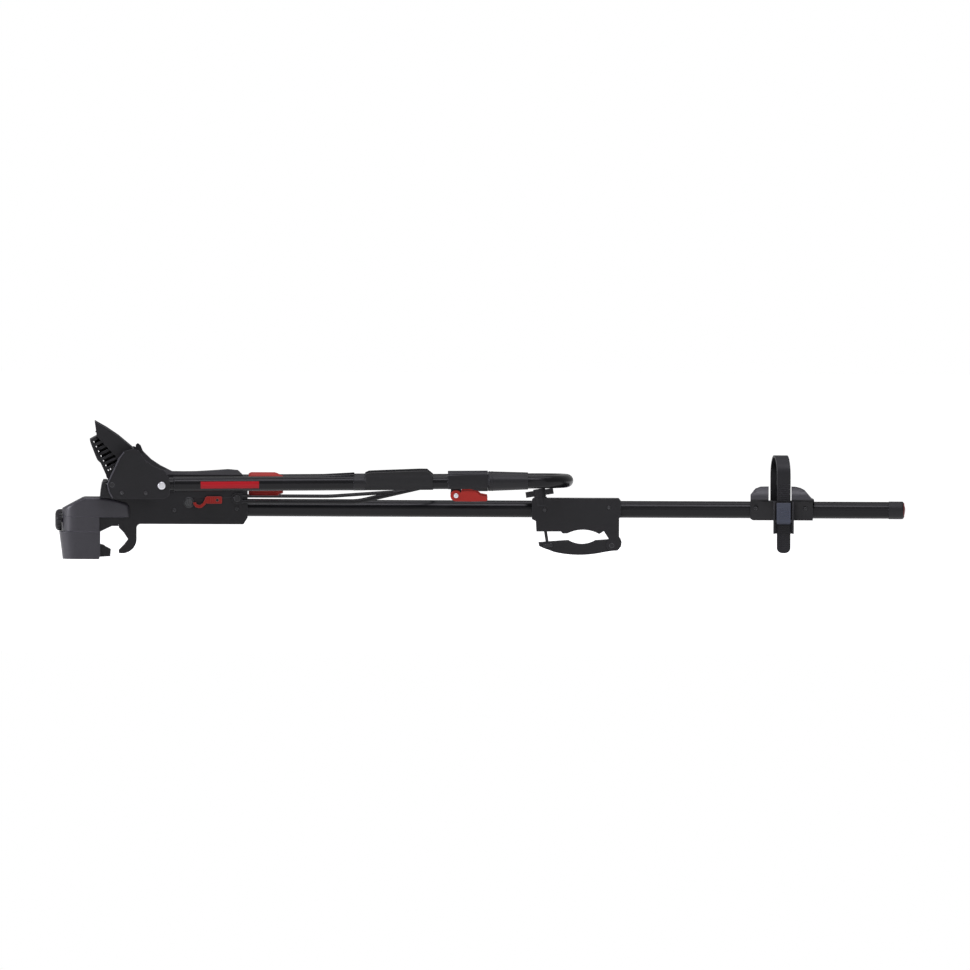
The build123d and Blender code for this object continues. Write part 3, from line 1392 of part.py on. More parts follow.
mid_height = mid_top_z - mid_bottom_z
mid_points = side_points(mid_shares, mid_front_x, mid_bottom_z, mid_length, mid_height)
lens_apex = side_points(lens_apex_shares, mid_front_x, mid_bottom_z, mid_length, mid_height)[0]
lens_front, lens_rear = mid_points[6:8]
cheek_points = side_points(mid_cheek_shares, mid_front_x, mid_bottom_z, mid_length, mid_height)
upper_crescent = crescent(lens_front, lens_apex, lens_rear, mid_pad_thickness)
with BuildPart() as mid_housing:
    with BuildSketch(Plane.XZ):
        with BuildLine():
            Polyline(*mid_points[:7])
            ThreePointArc(lens_front, lens_apex, lens_rear)
            Polyline(*mid_points[7:], mid_points[0])
        make_face()
        with BuildLine():
            Polyline(*cheek_points, close=True)
        make_face()
        with Locations((mid_hinge_x, mid_hinge_z)):
            Circle(mid_knuckle_radius)
    extrude(amount=mid_half_width, both=True)
    with BuildSketch(Plane.XZ):
        slot_front_x = mid_hinge_x - mid_knuckle_radius - mid_slot_rise
        slot_top_z = mid_hinge_z + mid_knuckle_radius + mid_slot_rise
        with Locations((slot_front_x + mid_length / 2, slot_top_z - mid_height / 2)):
            Rectangle(mid_length, mid_height)
    extrude(amount=mid_jaw_half_width + free_gap, both=True, mode=Mode.SUBTRACT)
    with BuildSketch(bolt_section(boss_top_drop)):
        Circle(boss_radius)
    extrude(amount=boss_bottom_drop - boss_top_drop)
    with BuildSketch(Plane.YZ.offset(mid_front_x - overrun)):
        with Locations((0, tube_axis_z)):
            Circle(tube_radius + running_play)
    extrude(amount=mid_length + 3 * overrun, mode=Mode.SUBTRACT)
    with BuildSketch(bolt_section(0)):
        Circle(bolt_radius + bolt_hole_play)
    extrude(amount=bolt_length, mode=Mode.SUBTRACT)
    extrude(upper_crescent, amount=mid_pad_half_width, both=True, mode=Mode.SUBTRACT)
    with BuildSketch(Plane.XZ):
        with Locations((mid_hinge_x, mid_hinge_z)):
            Circle(mid_hinge_radius)
    extrude(amount=mid_half_width, both=True, mode=Mode.SUBTRACT)
finish(mid_housing, "mid_housing")

with BuildPart() as mid_upper_pad:
    extrude(upper_crescent, amount=mid_pad_half_width, both=True)
finish(mid_upper_pad, "mid_upper_pad")

with BuildPart() as mid_hinge_pin:
    with BuildSketch(Plane.XZ):
        with Locations((mid_hinge_x, mid_hinge_z)):
            Circle(mid_hinge_radius)
    extrude(amount=mid_half_width, both=True)
finish(mid_hinge_pin, "mid_hinge_pin")


# Points of the lower jaw's outline, from shares of its length and height.
def jaw_side(shares):
    return side_points(
        shares, mid_jaw_front_x, mid_jaw_bottom_z, mid_jaw_length, mid_jaw_height
    )


bed_front, bed_apex, bed_rear = jaw_side(mid_jaw_bed_shares)
belly_rear, belly_middle, belly_front = jaw_side(mid_jaw_belly_shares)
lower_crescent = crescent(bed_front, bed_apex, bed_rear, -mid_pad_thickness)
with BuildPart() as mid_jaw:
    with BuildSketch(Plane.XZ):
        with BuildLine():
            Polyline(belly_front, *jaw_side(mid_jaw_top_shares))
            ThreePointArc(bed_front, bed_apex, bed_rear)
            Polyline(
                bed_rear,
                *jaw_side([mid_jaw_heel_share]),
                (mid_hinge_x, mid_hinge_z + mid_knuckle_radius),
                (mid_hinge_x, mid_hinge_z - mid_knuckle_radius),
                belly_rear,
            )
            ThreePointArc(belly_rear, belly_middle, belly_front)
        make_face()
        with Locations((mid_hinge_x, mid_hinge_z)):
            Circle(mid_knuckle_radius)
            Circle(mid_hinge_radius + running_play, mode=Mode.SUBTRACT)
    extrude(amount=mid_jaw_half_width, both=True)
    extrude(lower_crescent, amount=mid_pad_half_width, both=True, mode=Mode.SUBTRACT)
    with BuildSketch(bolt_section(jaw_nut_drop - jaw_nut_thickness / 2)):
        Rectangle(2 * jaw_nut_half_length, 2 * jaw_nut_half_width)
    extrude(amount=jaw_nut_thickness, mode=Mode.SUBTRACT)
    with BuildSketch(bolt_section(jaw_nut_drop - 2 * jaw_nut_thickness)):
        Circle(bolt_radius + jaw_slot_play)
    extrude(amount=4 * jaw_nut_thickness, mode=Mode.SUBTRACT)
finish(mid_jaw, "mid_jaw")

with BuildPart() as mid_lower_pad:
    extrude(lower_crescent, amount=mid_pad_half_width, both=True)
finish(mid_lower_pad, "mid_lower_pad")

with BuildPart() as jaw_nut:
    with BuildSketch(bolt_section(jaw_nut_drop - jaw_nut_thickness / 2)):
        Rectangle(2 * jaw_nut_half_length, 2 * jaw_nut_half_width)
        with Locations((-jaw_nut_shift, 0)):
            Circle(bolt_radius + jaw_nut_play, mode=Mode.SUBTRACT)
    extrude(amount=jaw_nut_thickness)
finish(jaw_nut, "jaw_nut")

with BuildPart() as t_knob:
    with BuildSketch(bolt_section(-knob_hub_top)):
        Circle(knob_hub_radius)
    extrude(amount=knob_hub_top + knob_hub_bottom)
    with BuildSketch(bolt_section(-wing_top)):
        SlotOverall(2 * wing_half_length, 2 * wing_half_width)
    extrude(amount=wing_top + wing_bottom)
    fillet(t_knob.faces().sort_by(Axis.Z)[-1].edges(), wing_edge)
    with BuildSketch(bolt_section(0)):
        Circle(bolt_radius)
    extrude(amount=knob_hub_bottom, mode=Mode.SUBTRACT)
finish(t_knob, "t_knob")

with BuildPart() as clamp_bolt:
    with BuildSketch(bolt_section(0)):
        Circle(bolt_radius)
    extrude(amount=bolt_length)
finish(clamp_bolt, "clamp_bolt")

# Rear wheel tray, with a gap between its humps for the strap
strap_leg_y = tray_waist + buckle_base + strap_thickness / 2
skew = cos(radians(strap_yaw))
far_x = strap_x - strap_leg_y * sin(radians(strap_yaw)) / skew
tray_height = tray_top_z - tray_bottom_z
tray_step_z = tray_bottom_z + tray_step_share * tray_height
with BuildPart() as wheel_tray:
    with BuildSketch(Plane.XZ):
        with BuildLine():
            Polyline(
                *side_points(tray_shares, tray_front_x, tray_bottom_z, tray_length, tray_height),
                close=True,
            )
        make_face()
    extrude(amount=tray_half_width, both=True)
    for hand in (-1, 1):
        waist_y = hand * (tray_waist + tray_half_width)
        with BuildSketch(Plane.XY.offset(tray_step_z)):
            with Locations((tray_front_x + tray_length / 2, waist_y)):
                Rectangle(2 * tray_length, 2 * tray_half_width)
        extrude(amount=-tray_height, mode=Mode.SUBTRACT)
    with BuildSketch(Plane.YZ.offset(tray_front_x - overrun)):
        with Locations((0, tube_axis_z)):
            Circle(tube_radius + running_play)
        with Locations((0, trough_wheel_z)):
            Circle(trough_wheel_radius)
    extrude(amount=tray_length + 3 * overrun, mode=Mode.SUBTRACT)
    with BuildSketch(side_plane(tray_waist)):
        with Locations((far_x, anchor_pin_z)):
            Circle(anchor_pin_radius)
    extrude(amount=anchor_pin_inset, mode=Mode.SUBTRACT)
finish(wheel_tray, "wheel_tray")

# Strap: the far end is pinned to the tray and the near end passes through the buckle.
# Its faces run along X, and its arch is skewed, because the buckle sits behind the pin.
strap_arch_radius = strap_leg_y / skew
strap_half = strap_thickness / 2 / skew
with BuildPart() as strap:
    with BuildSketch(Plane(
        origin=(strap_x - strap_width / 2, 0, 0),
        x_dir=(-sin(radians(strap_yaw)), skew, 0),
        z_dir=(skew, sin(radians(strap_yaw)), 0),
    )):
        with BuildLine():
            Polyline(
                (strap_arch_radius + strap_half, strap_foot_z),
                (strap_arch_radius + strap_half, strap_arch_z),
            )
            RadiusArc(
                (strap_arch_radius + strap_half, strap_arch_z),
                (-strap_arch_radius - strap_half, strap_arch_z),
                -strap_arch_radius - strap_half,
            )
            Polyline(
                (-strap_arch_radius - strap_half, strap_arch_z),
                (-strap_arch_radius - strap_half, strap_tail_z),
                (-strap_arch_radius + strap_half, strap_tail_z),
                (-strap_arch_radius + strap_half, strap_arch_z),
            )
            RadiusArc(
                (-strap_arch_radius + strap_half, strap_arch_z),
                (strap_arch_radius - strap_half, strap_arch_z),
                strap_arch_radius - strap_half,
            )
            Polyline(
                (strap_arch_radius - strap_half, strap_arch_z),
                (strap_arch_radius - strap_half, strap_foot_z),
                (strap_arch_radius + strap_half, strap_foot_z),
            )
        make_face()
    extrude(amount=strap_width, dir=(1, 0, 0))
    tail_edges = strap.faces().sort_by(Axis.Z)[0].edges().sort_by(SortBy.LENGTH)[:2]
    fillet(tail_edges, strap_tail_rounding)
    with BuildSketch(side_plane(tray_half_width)):
        with Locations((far_x, anchor_pin_z)):
            Circle(anchor_pin_radius)
    extrude(amount=tray_half_width, mode=Mode.SUBTRACT)
finish(strap, "strap")

with BuildPart() as strap_anchor_pin:
    strap_outer_y = strap_leg_y + strap_thickness / 2
    with BuildSketch(side_plane(strap_outer_y)):
        with Locations((far_x, anchor_pin_z)):
            Circle(anchor_pin_radius)
    extrude(amount=strap_outer_y - tray_waist + anchor_pin_inset)
    with BuildSketch(side_plane(strap_outer_y + anchor_head_height)):
        with Locations((far_x, anchor_pin_z)):
            Circle(anchor_pin_head_radius)
    extrude(amount=anchor_head_height)
    with BuildSketch(side_plane(tray_waist + buckle_base)):
        with Locations((far_x, anchor_pin_z)):
            Circle(anchor_pin_head_radius)
    extrude(amount=buckle_base)
finish(strap_anchor_pin, "strap_anchor_pin")

# Ratchet buckle on the near side of the tray
with BuildPart() as buckle_frame:
    with BuildSketch(side_plane(-tray_waist - buckle_base)):
        with Locations((
            buckle_front_x + buckle_length / 2, buckle_bottom_z + buckle_height / 2
        )):
            Rectangle(buckle_length, buckle_height)
    extrude(amount=-buckle_base)
    for cheek_x in (buckle_front_x, buckle_front_x + buckle_length - buckle_wall):
        with BuildSketch(Plane.YZ.offset(cheek_x)):
            with BuildLine():
                Polyline(
                    *side_points(
                        buckle_cheek_shares, -tray_waist, buckle_bottom_z,
                        -buckle_depth - buckle_base, buckle_height,
                    ),
                    close=True,
                )
            make_face()
            with Locations((buckle_pin_y, buckle_pin_z)):
                Circle(buckle_pin_radius, mode=Mode.SUBTRACT)
        extrude(amount=buckle_wall)
finish(buckle_frame, "buckle_frame")

with BuildPart() as buckle_pin:
    with BuildSketch(Plane.YZ.offset(buckle_front_x)):
        with Locations((buckle_pin_y, buckle_pin_z)):
            Circle(buckle_pin_radius)
    extrude(amount=buckle_length)
finish(buckle_pin, "buckle_pin")

with BuildPart() as buckle_lever:
    lever_x = buckle_front_x + buckle_wall + lever_plate_gap
    lever_outer_y = buckle_pin_y - lever_hub_radius
    lever_bend_z = lever_plate_top_z - 2 * lever_plate_thickness
    with BuildSketch(Plane.YZ.offset(lever_x)):
        with Locations((buckle_pin_y, buckle_pin_z)):
            Circle(lever_hub_radius)
        with BuildLine():
            Polyline(
                (lever_outer_y, buckle_pin_z),
                (lever_outer_y, lever_bend_z),
                (lever_outer_y - lever_thumb_rise, lever_plate_top_z),
                (lever_outer_y - lever_thumb_rise + lever_plate_thickness, lever_plate_top_z),
                (lever_outer_y + lever_plate_thickness, lever_bend_z),
                (lever_outer_y + lever_plate_thickness, buckle_pin_z),
                close=True,
            )
        make_face()
        with Locations((buckle_pin_y, buckle_pin_z)):
            Circle(buckle_pin_radius + running_play, mode=Mode.SUBTRACT)
    extrude(amount=buckle_length - 2 * (buckle_wall + lever_plate_gap))
finish(buckle_lever, "buckle_lever")
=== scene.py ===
import bmesh
import bpy
import math
from mathutils import Matrix, Vector


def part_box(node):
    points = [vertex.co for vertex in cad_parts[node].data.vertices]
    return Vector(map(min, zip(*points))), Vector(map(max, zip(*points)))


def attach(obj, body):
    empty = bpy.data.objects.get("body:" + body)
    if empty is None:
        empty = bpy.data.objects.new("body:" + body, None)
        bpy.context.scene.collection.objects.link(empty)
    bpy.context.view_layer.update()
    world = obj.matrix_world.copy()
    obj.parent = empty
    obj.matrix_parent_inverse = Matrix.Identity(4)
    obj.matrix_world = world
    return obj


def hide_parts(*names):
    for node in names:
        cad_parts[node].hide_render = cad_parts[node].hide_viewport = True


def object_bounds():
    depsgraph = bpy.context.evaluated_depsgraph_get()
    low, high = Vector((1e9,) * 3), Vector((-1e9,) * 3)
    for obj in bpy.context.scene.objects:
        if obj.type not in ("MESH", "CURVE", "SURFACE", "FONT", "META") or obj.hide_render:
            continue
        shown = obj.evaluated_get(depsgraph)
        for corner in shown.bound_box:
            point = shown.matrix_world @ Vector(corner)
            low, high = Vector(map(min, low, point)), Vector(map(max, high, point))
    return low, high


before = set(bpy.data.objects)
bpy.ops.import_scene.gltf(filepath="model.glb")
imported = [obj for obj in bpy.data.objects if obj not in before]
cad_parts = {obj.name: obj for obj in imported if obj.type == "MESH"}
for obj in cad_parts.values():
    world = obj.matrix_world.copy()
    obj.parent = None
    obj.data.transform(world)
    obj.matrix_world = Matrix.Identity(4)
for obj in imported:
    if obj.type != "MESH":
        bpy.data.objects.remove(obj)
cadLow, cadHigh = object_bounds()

print("frame loaded:", len(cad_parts), "nodes")


# Shader groups that several finishes share

def newGroup(name, inputs, outputs):
    tree = bpy.data.node_groups.new(name, "ShaderNodeTree")
    for label, kind, value in inputs:
        socket = tree.interface.new_socket(label, in_out="INPUT", socket_type=kind)
        socket.default_value = value
    for label, kind in outputs:
        tree.interface.new_socket(label, in_out="OUTPUT", socket_type=kind)
    return tree, tree.nodes.new("NodeGroupInput"), tree.nodes.new("NodeGroupOutput")


def mathNode(tree, operation, first, second, clamp=False):
    node = tree.nodes.new("ShaderNodeMath")
    node.operation = operation
    node.use_clamp = clamp
    for socket, value in zip(node.inputs, (first, second)):
        if isinstance(value, (int, float)):
            socket.default_value = value
        else:
            tree.links.new(value, socket)
    return node.outputs[0]


# detail and roughness of each noise in the groups
noiseLooks = {"pebbles": (2.0, 0.55), "cloud": (4.0, 0.6), "breakup": (3.0, 0.6),
              "specks": (6.0, 0.7), "lines": (2.0, 0.5)}


def noiseNode(tree, vector, scale, look):
    node = tree.nodes.new("ShaderNodeTexNoise")
    node.inputs["Detail"].default_value, node.inputs["Roughness"].default_value = noiseLooks[look]
    tree.links.new(vector, node.inputs["Vector"])
    tree.links.new(scale, node.inputs["Scale"])
    return node.outputs["Fac"]


# what every finish has, unless its own look says otherwise
plainLook = {
    "grainScale": 1400.0, "cloudScale": 22.0, "edgeWidth": 0.0012, "breakup": 160.0,
    # the dust colour is lavender like the lamps, so dust on top faces is partly a painted top light
    "dustScale": 60.0, "dustColour": (0.25, 0.24, 0.27), "bumpDepth": 0.0002,
    "metallic": 0.0, "coat": 0.0, "coatRoughness": 0.2, "specular": 0.5,
}


# moulded grain: fine pebbles with a slower swell in the gloss
def grainGroup():
    tree, given, out = newGroup(
        "mouldedGrain",
        [("Grain Scale", "NodeSocketFloat", plainLook["grainScale"]),
         ("Cloud Scale", "NodeSocketFloat", plainLook["cloudScale"])],
        [("Height", "NodeSocketFloat"), ("Cloud", "NodeSocketFloat")],
    )
    place = tree.nodes.new("ShaderNodeTexCoord").outputs["Object"]
    pebbles = tree.nodes.new("ShaderNodeTexVoronoi")
    pebbles.feature = "SMOOTH_F1"
    tree.links.new(place, pebbles.inputs["Vector"])
    tree.links.new(given.outputs["Grain Scale"], pebbles.inputs["Scale"])
    fine = noiseNode(tree, place, given.outputs["Grain Scale"], "pebbles")
    height = mathNode(tree, "ADD", pebbles.outputs["Distance"], fine)
    cloud = noiseNode(tree, place, given.outputs["Cloud Scale"], "cloud")
    tree.links.new(height, out.inputs["Height"])
    tree.links.new(cloud, out.inputs["Cloud"])
    return tree


edgeWearAndHighlight = {"samples": 6, "gain": 9.0}  # gain: how soon an edge turns to its lighter edge colour


# edge mask: how far the rounded normal turns from the true one, broken up by noise; it lightens edges,
# partly as wear and partly as a painted highlight
def edgeGroup():
    tree, given, out = newGroup(
        "edgeMask",
        [("Width", "NodeSocketFloat", plainLook["edgeWidth"]),
         ("Breakup Scale", "NodeSocketFloat", plainLook["breakup"])],
        [("Mask", "NodeSocketFloat"), ("Normal", "NodeSocketVector")],
    )
    rounded = tree.nodes.new("ShaderNodeBevel")
    rounded.samples = edgeWearAndHighlight["samples"]
    tree.links.new(given.outputs["Width"], rounded.inputs["Radius"])
    trueNormal = tree.nodes.new("ShaderNodeNewGeometry").outputs["Normal"]
    dot = tree.nodes.new("ShaderNodeVectorMath")
    dot.operation = "DOT_PRODUCT"
    tree.links.new(rounded.outputs["Normal"], dot.inputs[0])
    tree.links.new(trueNormal, dot.inputs[1])
    turned = mathNode(tree, "SUBTRACT", 1.0, dot.outputs["Value"])
    place = tree.nodes.new("ShaderNodeTexCoord").outputs["Object"]
    breakup = noiseNode(tree, place, given.outputs["Breakup Scale"], "breakup")
    strong = mathNode(tree, "MULTIPLY", turned, edgeWearAndHighlight["gain"])
    mask = mathNode(tree, "MULTIPLY", strong, breakup, True)
    tree.links.new(mask, out.inputs["Mask"])
    tree.links.new(rounded.outputs["Normal"], out.inputs["Normal"])
    return tree


# dust that settles on surfaces that look up; its lavender colour, like the lamps', also paints light on
# the top faces
def dustGroup():
    tree, given, out = newGroup(
        "dustOnTop",
        [("Amount", "NodeSocketFloat", 0.2), ("Scale", "NodeSocketFloat", plainLook["dustScale"])],
        [("Mask", "NodeSocketFloat")],
    )
    geometry = tree.nodes.new("ShaderNodeNewGeometry")
    split = tree.nodes.new("ShaderNodeSeparateXYZ")
    tree.links.new(geometry.outputs["Normal"], split.inputs[0])
    up = mathNode(tree, "MAXIMUM", split.outputs["Z"], 0.0)
    place = tree.nodes.new("ShaderNodeTexCoord").outputs["Object"]
    specks = noiseNode(tree, place, given.outputs["Scale"], "specks")
    soft = mathNode(tree, "MULTIPLY", up, specks)
    mask = mathNode(tree, "MULTIPLY", soft, given.outputs["Amount"], True)
    tree.links.new(mask, out.inputs["Mask"])
    return tree


streakStretch = (0.02, 1.0, 1.0)  # drawn out along X


# scratches and drawing lines that run along X
def streakGroup():
    tree, given, out = newGroup(
        "lengthwiseStreaks",
        [("Fineness", "NodeSocketFloat", 900.0)],
        [("Height", "NodeSocketFloat")],
    )
    place = tree.nodes.new("ShaderNodeTexCoord").outputs["Object"]
    stretch = tree.nodes.new("ShaderNodeMapping")
    stretch.inputs["Scale"].default_value = streakStretch
    tree.links.new(place, stretch.inputs["Vector"])
    lines = noiseNode(tree, stretch.outputs["Vector"], given.outputs["Fineness"], "lines")
    tree.links.new(lines, out.inputs["Height"])
    return tree


groups = {"grain": grainGroup(), "edge": edgeGroup(), "dust": dustGroup(), "streak": streakGroup()}


def placeGroup(tree, name, **values):
    node = tree.nodes.new("ShaderNodeGroup")
    node.node_tree = groups[name]
    for label, value in values.items():
        node.inputs[label.replace("_", " ")].default_value = value
    return node


def colourMix(tree, mask, low, high):
    node = tree.nodes.new("ShaderNodeMix")
    node.data_type = "RGBA"
    tree.links.new(mask, node.inputs["Factor"])
    for socket, value in ((node.inputs[6], low), (node.inputs[7], high)):
        if isinstance(value, tuple):
            socket.default_value = (*value, 1.0)
        else:
            tree.links.new(value, socket)
    return node.outputs[2]


cloudRange = (0.3, 0.7)  # where most of the cloud noise lies


def rangeNode(tree, value, low, high):
    node = tree.nodes.new("ShaderNodeMapRange")
    node.inputs["From Min"].default_value, node.inputs["From Max"].default_value = cloudRange
    node.inputs["To Min"].default_value = low
    node.inputs["To Max"].default_value = high
    tree.links.new(value, node.inputs["Value"])
    return node.outputs["Result"]


# one finish: colour, lighter edge colour (wear and painted highlight), dust (partly painted top light),
# grain or streaks, gloss range
def finishMaterial(name, ownLook):
    look = {**plainLook, **ownLook}
    material = bpy.data.materials.new(name)
    material.use_nodes = True
    tree = material.node_tree
    surface = tree.nodes["Principled BSDF"]
    grain = placeGroup(tree, "grain", Grain_Scale=look["grainScale"], Cloud_Scale=look["cloudScale"])
    edge = placeGroup(tree, "edge", Width=look["edgeWidth"], Breakup_Scale=look["breakup"])
    base = colourMix(tree, grain.outputs["Cloud"], look["dark"], look["light"])
    # lighter edge colour: wear, and partly a painted highlight where edges catch the light
    wornAndHighlit = colourMix(tree, edge.outputs["Mask"], base, look["edge"])
    # dust on top faces, partly a painted top light
    dust = placeGroup(tree, "dust", Amount=look["dust"], Scale=look["dustScale"])
    dustyAndLitTop = colourMix(tree, dust.outputs["Mask"], wornAndHighlit, look["dustColour"])
    tree.links.new(dustyAndLitTop, surface.inputs["Base Color"])
    gloss = rangeNode(tree, grain.outputs["Cloud"], *look["roughness"])
    rougher = mathNode(tree, "ADD", gloss, dust.outputs["Mask"], True)
    tree.links.new(rougher, surface.inputs["Roughness"])
    for socket, key in (("Metallic", "metallic"), ("Coat Weight", "coat"),
                        ("Coat Roughness", "coatRoughness"), ("Specular IOR Level", "specular")):
        surface.inputs[socket].default_value = look[key]
    height = grain.outputs["Height"]
    if "streaks" in look:
        height = placeGroup(tree, "streak", Fineness=look["streaks"]).outputs["Height"]
    bump = tree.nodes.new("ShaderNodeBump")
    bump.inputs["Strength"].default_value = look["bump"]
    bump.inputs["Distance"].default_value = look["bumpDepth"]
    tree.links.new(height, bump.inputs["Height"])
    tree.links.new(edge.outputs["Normal"], bump.inputs["Normal"])
    tree.links.new(bump.outputs["Normal"], surface.inputs["Normal"])
    return material


finishLooks = {
    "mouldedBlack": {
        "dark": (0.0065, 0.0065, 0.0070), "light": (0.0105, 0.0103, 0.0118),
        "edge": (0.055, 0.055, 0.064),
        "roughness": (0.36, 0.50), "dust": 0.06, "bump": 0.25, "specular": 0.24,
    },
    # grey shell plastic of the front cover and housing; also used as a painted sheen on the black cheek
    # rims and the tray's trough tops
    "shellGrey": {
        "dark": (0.0290, 0.0280, 0.0330), "light": (0.0420, 0.0405, 0.0475), "edge": (0.12, 0.118, 0.14),
        "roughness": (0.30, 0.42), "dust": 0.10, "bump": 0.2, "specular": 0.40,
    },
    "tubePaint": {
        "dark": (0.0048, 0.0048, 0.0054), "light": (0.0072, 0.0072, 0.0084), "edge": (0.03, 0.03, 0.036),
        "roughness": (0.20, 0.27), "dust": 0.012, "bump": 0.05, "streaks": 500.0, "specular": 0.18,
    },
    "wirePaint": {
        "dark": (0.006, 0.006, 0.0065), "light": (0.010, 0.010, 0.011), "edge": (0.04, 0.04, 0.045),
        "roughness": (0.30, 0.42), "dust": 0.04, "bump": 0.15, "grainScale": 900.0, "specular": 0.22,
    },
    "redPlastic": {
        "dark": (0.34, 0.022, 0.017), "light": (0.44, 0.034, 0.025), "edge": (0.58, 0.12, 0.11),
        "roughness": (0.38, 0.50), "dust": 0.03, "bump": 0.12, "specular": 0.18,
    },
    "stripeRed": {
        "dark": (0.40, 0.006, 0.012), "light": (0.50, 0.010, 0.018), "edge": (0.56, 0.05, 0.06),
        "roughness": (0.32, 0.40), "dust": 0.03, "bump": 0.05, "grainScale": 2400.0, "specular": 0.22,
        "edgeWidth": 0.0002,
    },
    "softRubber": {
        "dark": (0.0080, 0.0080, 0.0082), "light": (0.0130, 0.0130, 0.0135),
        "edge": (0.025, 0.025, 0.027),
        "roughness": (0.50, 0.66), "dust": 0.08, "bump": 0.4, "grainScale": 700.0, "specular": 0.25,
    },
    "brightSteel": {
        "dark": (0.50, 0.50, 0.52), "light": (0.60, 0.60, 0.62), "edge": (0.72, 0.72, 0.74),
        "roughness": (0.26, 0.38), "dust": 0.03, "bump": 0.05, "metallic": 1.0,
    },
    "platedSteel": {
        "dark": (0.30, 0.30, 0.31), "light": (0.42, 0.42, 0.43), "edge": (0.6, 0.6, 0.6),
        "roughness": (0.28, 0.45), "dust": 0.06, "bump": 0.1, "metallic": 1.0, "grainScale": 600.0,
    },
    "blackSteel": {
        "dark": (0.012, 0.012, 0.013), "light": (0.022, 0.022, 0.023), "edge": (0.12, 0.12, 0.125),
        "roughness": (0.34, 0.48), "dust": 0.04, "bump": 0.08, "metallic": 0.55, "grainScale": 800.0,
    },
    "darkZinc": {
        "dark": (0.030, 0.032, 0.032), "light": (0.050, 0.052, 0.052), "edge": (0.16, 0.16, 0.165),
        "roughness": (0.38, 0.52), "dust": 0.05, "bump": 0.1, "metallic": 0.4,
    },
    "lensRed": {
        "dark": (0.035, 0.002, 0.004), "light": (0.07, 0.004, 0.007), "edge": (0.3, 0.02, 0.02),
        "roughness": (0.12, 0.20), "dust": 0.02, "bump": 0.3, "grainScale": 420.0, "coat": 0.2,
        "coatRoughness": 0.08, "specular": 0.25,
    },
    "leverBlue": {
        "dark": (0.045, 0.052, 0.075), "light": (0.066, 0.075, 0.103), "edge": (0.15, 0.16, 0.20),
        "roughness": (0.36, 0.48), "dust": 0.08, "bump": 0.18, "specular": 0.3,
    },
    "strapNylon": {
        "dark": (0.0070, 0.0070, 0.0080), "light": (0.0120, 0.0118, 0.0142), "edge": (0.05, 0.05, 0.058),
        "roughness": (0.36, 0.50), "dust": 0.05, "bump": 0.2, "grainScale": 1000.0, "specular": 0.22,
    },
}
finishes = {name: finishMaterial(name, look) for name, look in finishLooks.items()}
print("finishes made:", len(finishes))

# which finish each carried-over node takes; the rest are moulded black
nodeFinish = {
    "shellGrey": ["front_cover", "clamp_housing"],
    "tubePaint": ["main_tube", "hoop_leg_left", "hoop_leg_right", "upper_hoop",
                  "leg_cover_left", "leg_cover_right"],
    "wirePaint": ["wheel_bail"],
    "redPlastic": ["tension_knob", "cam_lever_left", "cam_lever_right", "release_latch"],
    "softRubber": ["saddle_pad", "mid_upper_pad", "mid_lower_pad", "tyre_bumper_left",
                   "tyre_bumper_right"],
    "brightSteel": ["hoop_rivets", "cam_pins"],
    "platedSteel": ["drawbar", "drawbar_pin", "tension_nut", "tension_screw", "clamp_spindle",
                    "clamp_nut", "latch_spring"],
    "blackSteel": ["scoop_hinge_pin", "bail_pins", "latch_pin", "mid_hinge_pin", "jaw_nut",
                   "clamp_bolt", "strap_anchor_pin", "buckle_pin"],
    "darkZinc": ["lock_barrel"],
    "lensRed": ["end_reflector"],
    "leverBlue": ["buckle_lever"],
    "strapNylon": ["strap"],
}
finishOf = {node: finish for finish, nodes in nodeFinish.items() for node in nodes}
for node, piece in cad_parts.items():
    piece.data.materials.clear()
    piece.data.materials.append(finishes[finishOf.get(node, "mouldedBlack")])

# Helpers for the pieces made here. Their dictionaries are in millimetres, and Blender is in metres.

mm = 0.001
sides = (("left", -1), ("right", 1))
meshRule = {"smooth": 40.0, "merge": 1e-6, "copyMerge": 2e-6, "latheSteps": 48}  # merges in metres


# a finished mesh becomes a piece that rides on a body and takes a finish
def addPiece(name, mesh, finish, body):
    mesh.materials.clear()
    mesh.materials.append(finishes[finish])
    piece = bpy.data.objects.new(name, mesh)
    bpy.context.scene.collection.objects.link(piece)
    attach(piece, body)
    return piece


# merges doubles, turns faces outwards, and smooths up to an angle between two faces
def cleanMesh(mesh, smoothAngle=meshRule["smooth"]):
    work = bmesh.new()
    work.from_mesh(mesh)
    bmesh.ops.remove_doubles(work, verts=work.verts, dist=meshRule["merge"])
    bmesh.ops.recalc_face_normals(work, faces=work.faces)
    work.to_mesh(mesh)
    work.free()
    mesh.shade_smooth()
    mesh.set_sharp_from_angle(angle=math.radians(smoothAngle))
    return mesh


# rings of points joined into a skin, with the two ends capped or the last ring joined to the first
def skinMesh(name, rings, closeRings=False, smoothAngle=meshRule["smooth"]):
    count = len(rings[0])
    verts = [point for ring in rings for point in ring]
    faces = []
    last = len(rings) if closeRings else len(rings) - 1
    for row in range(last):
        low, high = row * count, (row + 1) % len(rings) * count
        for k in range(count):
            n = (k + 1) % count
            faces.append((low + k, low + n, high + n, high + k))
    if not closeRings:
        faces.append(tuple(range(count))[::-1])
        faces.append(tuple((len(rings) - 1) * count + k for k in range(count)))
    mesh = bpy.data.meshes.new(name)
    mesh.from_pydata([tuple(v) for v in verts], [], faces)
    return cleanMesh(mesh, smoothAngle)


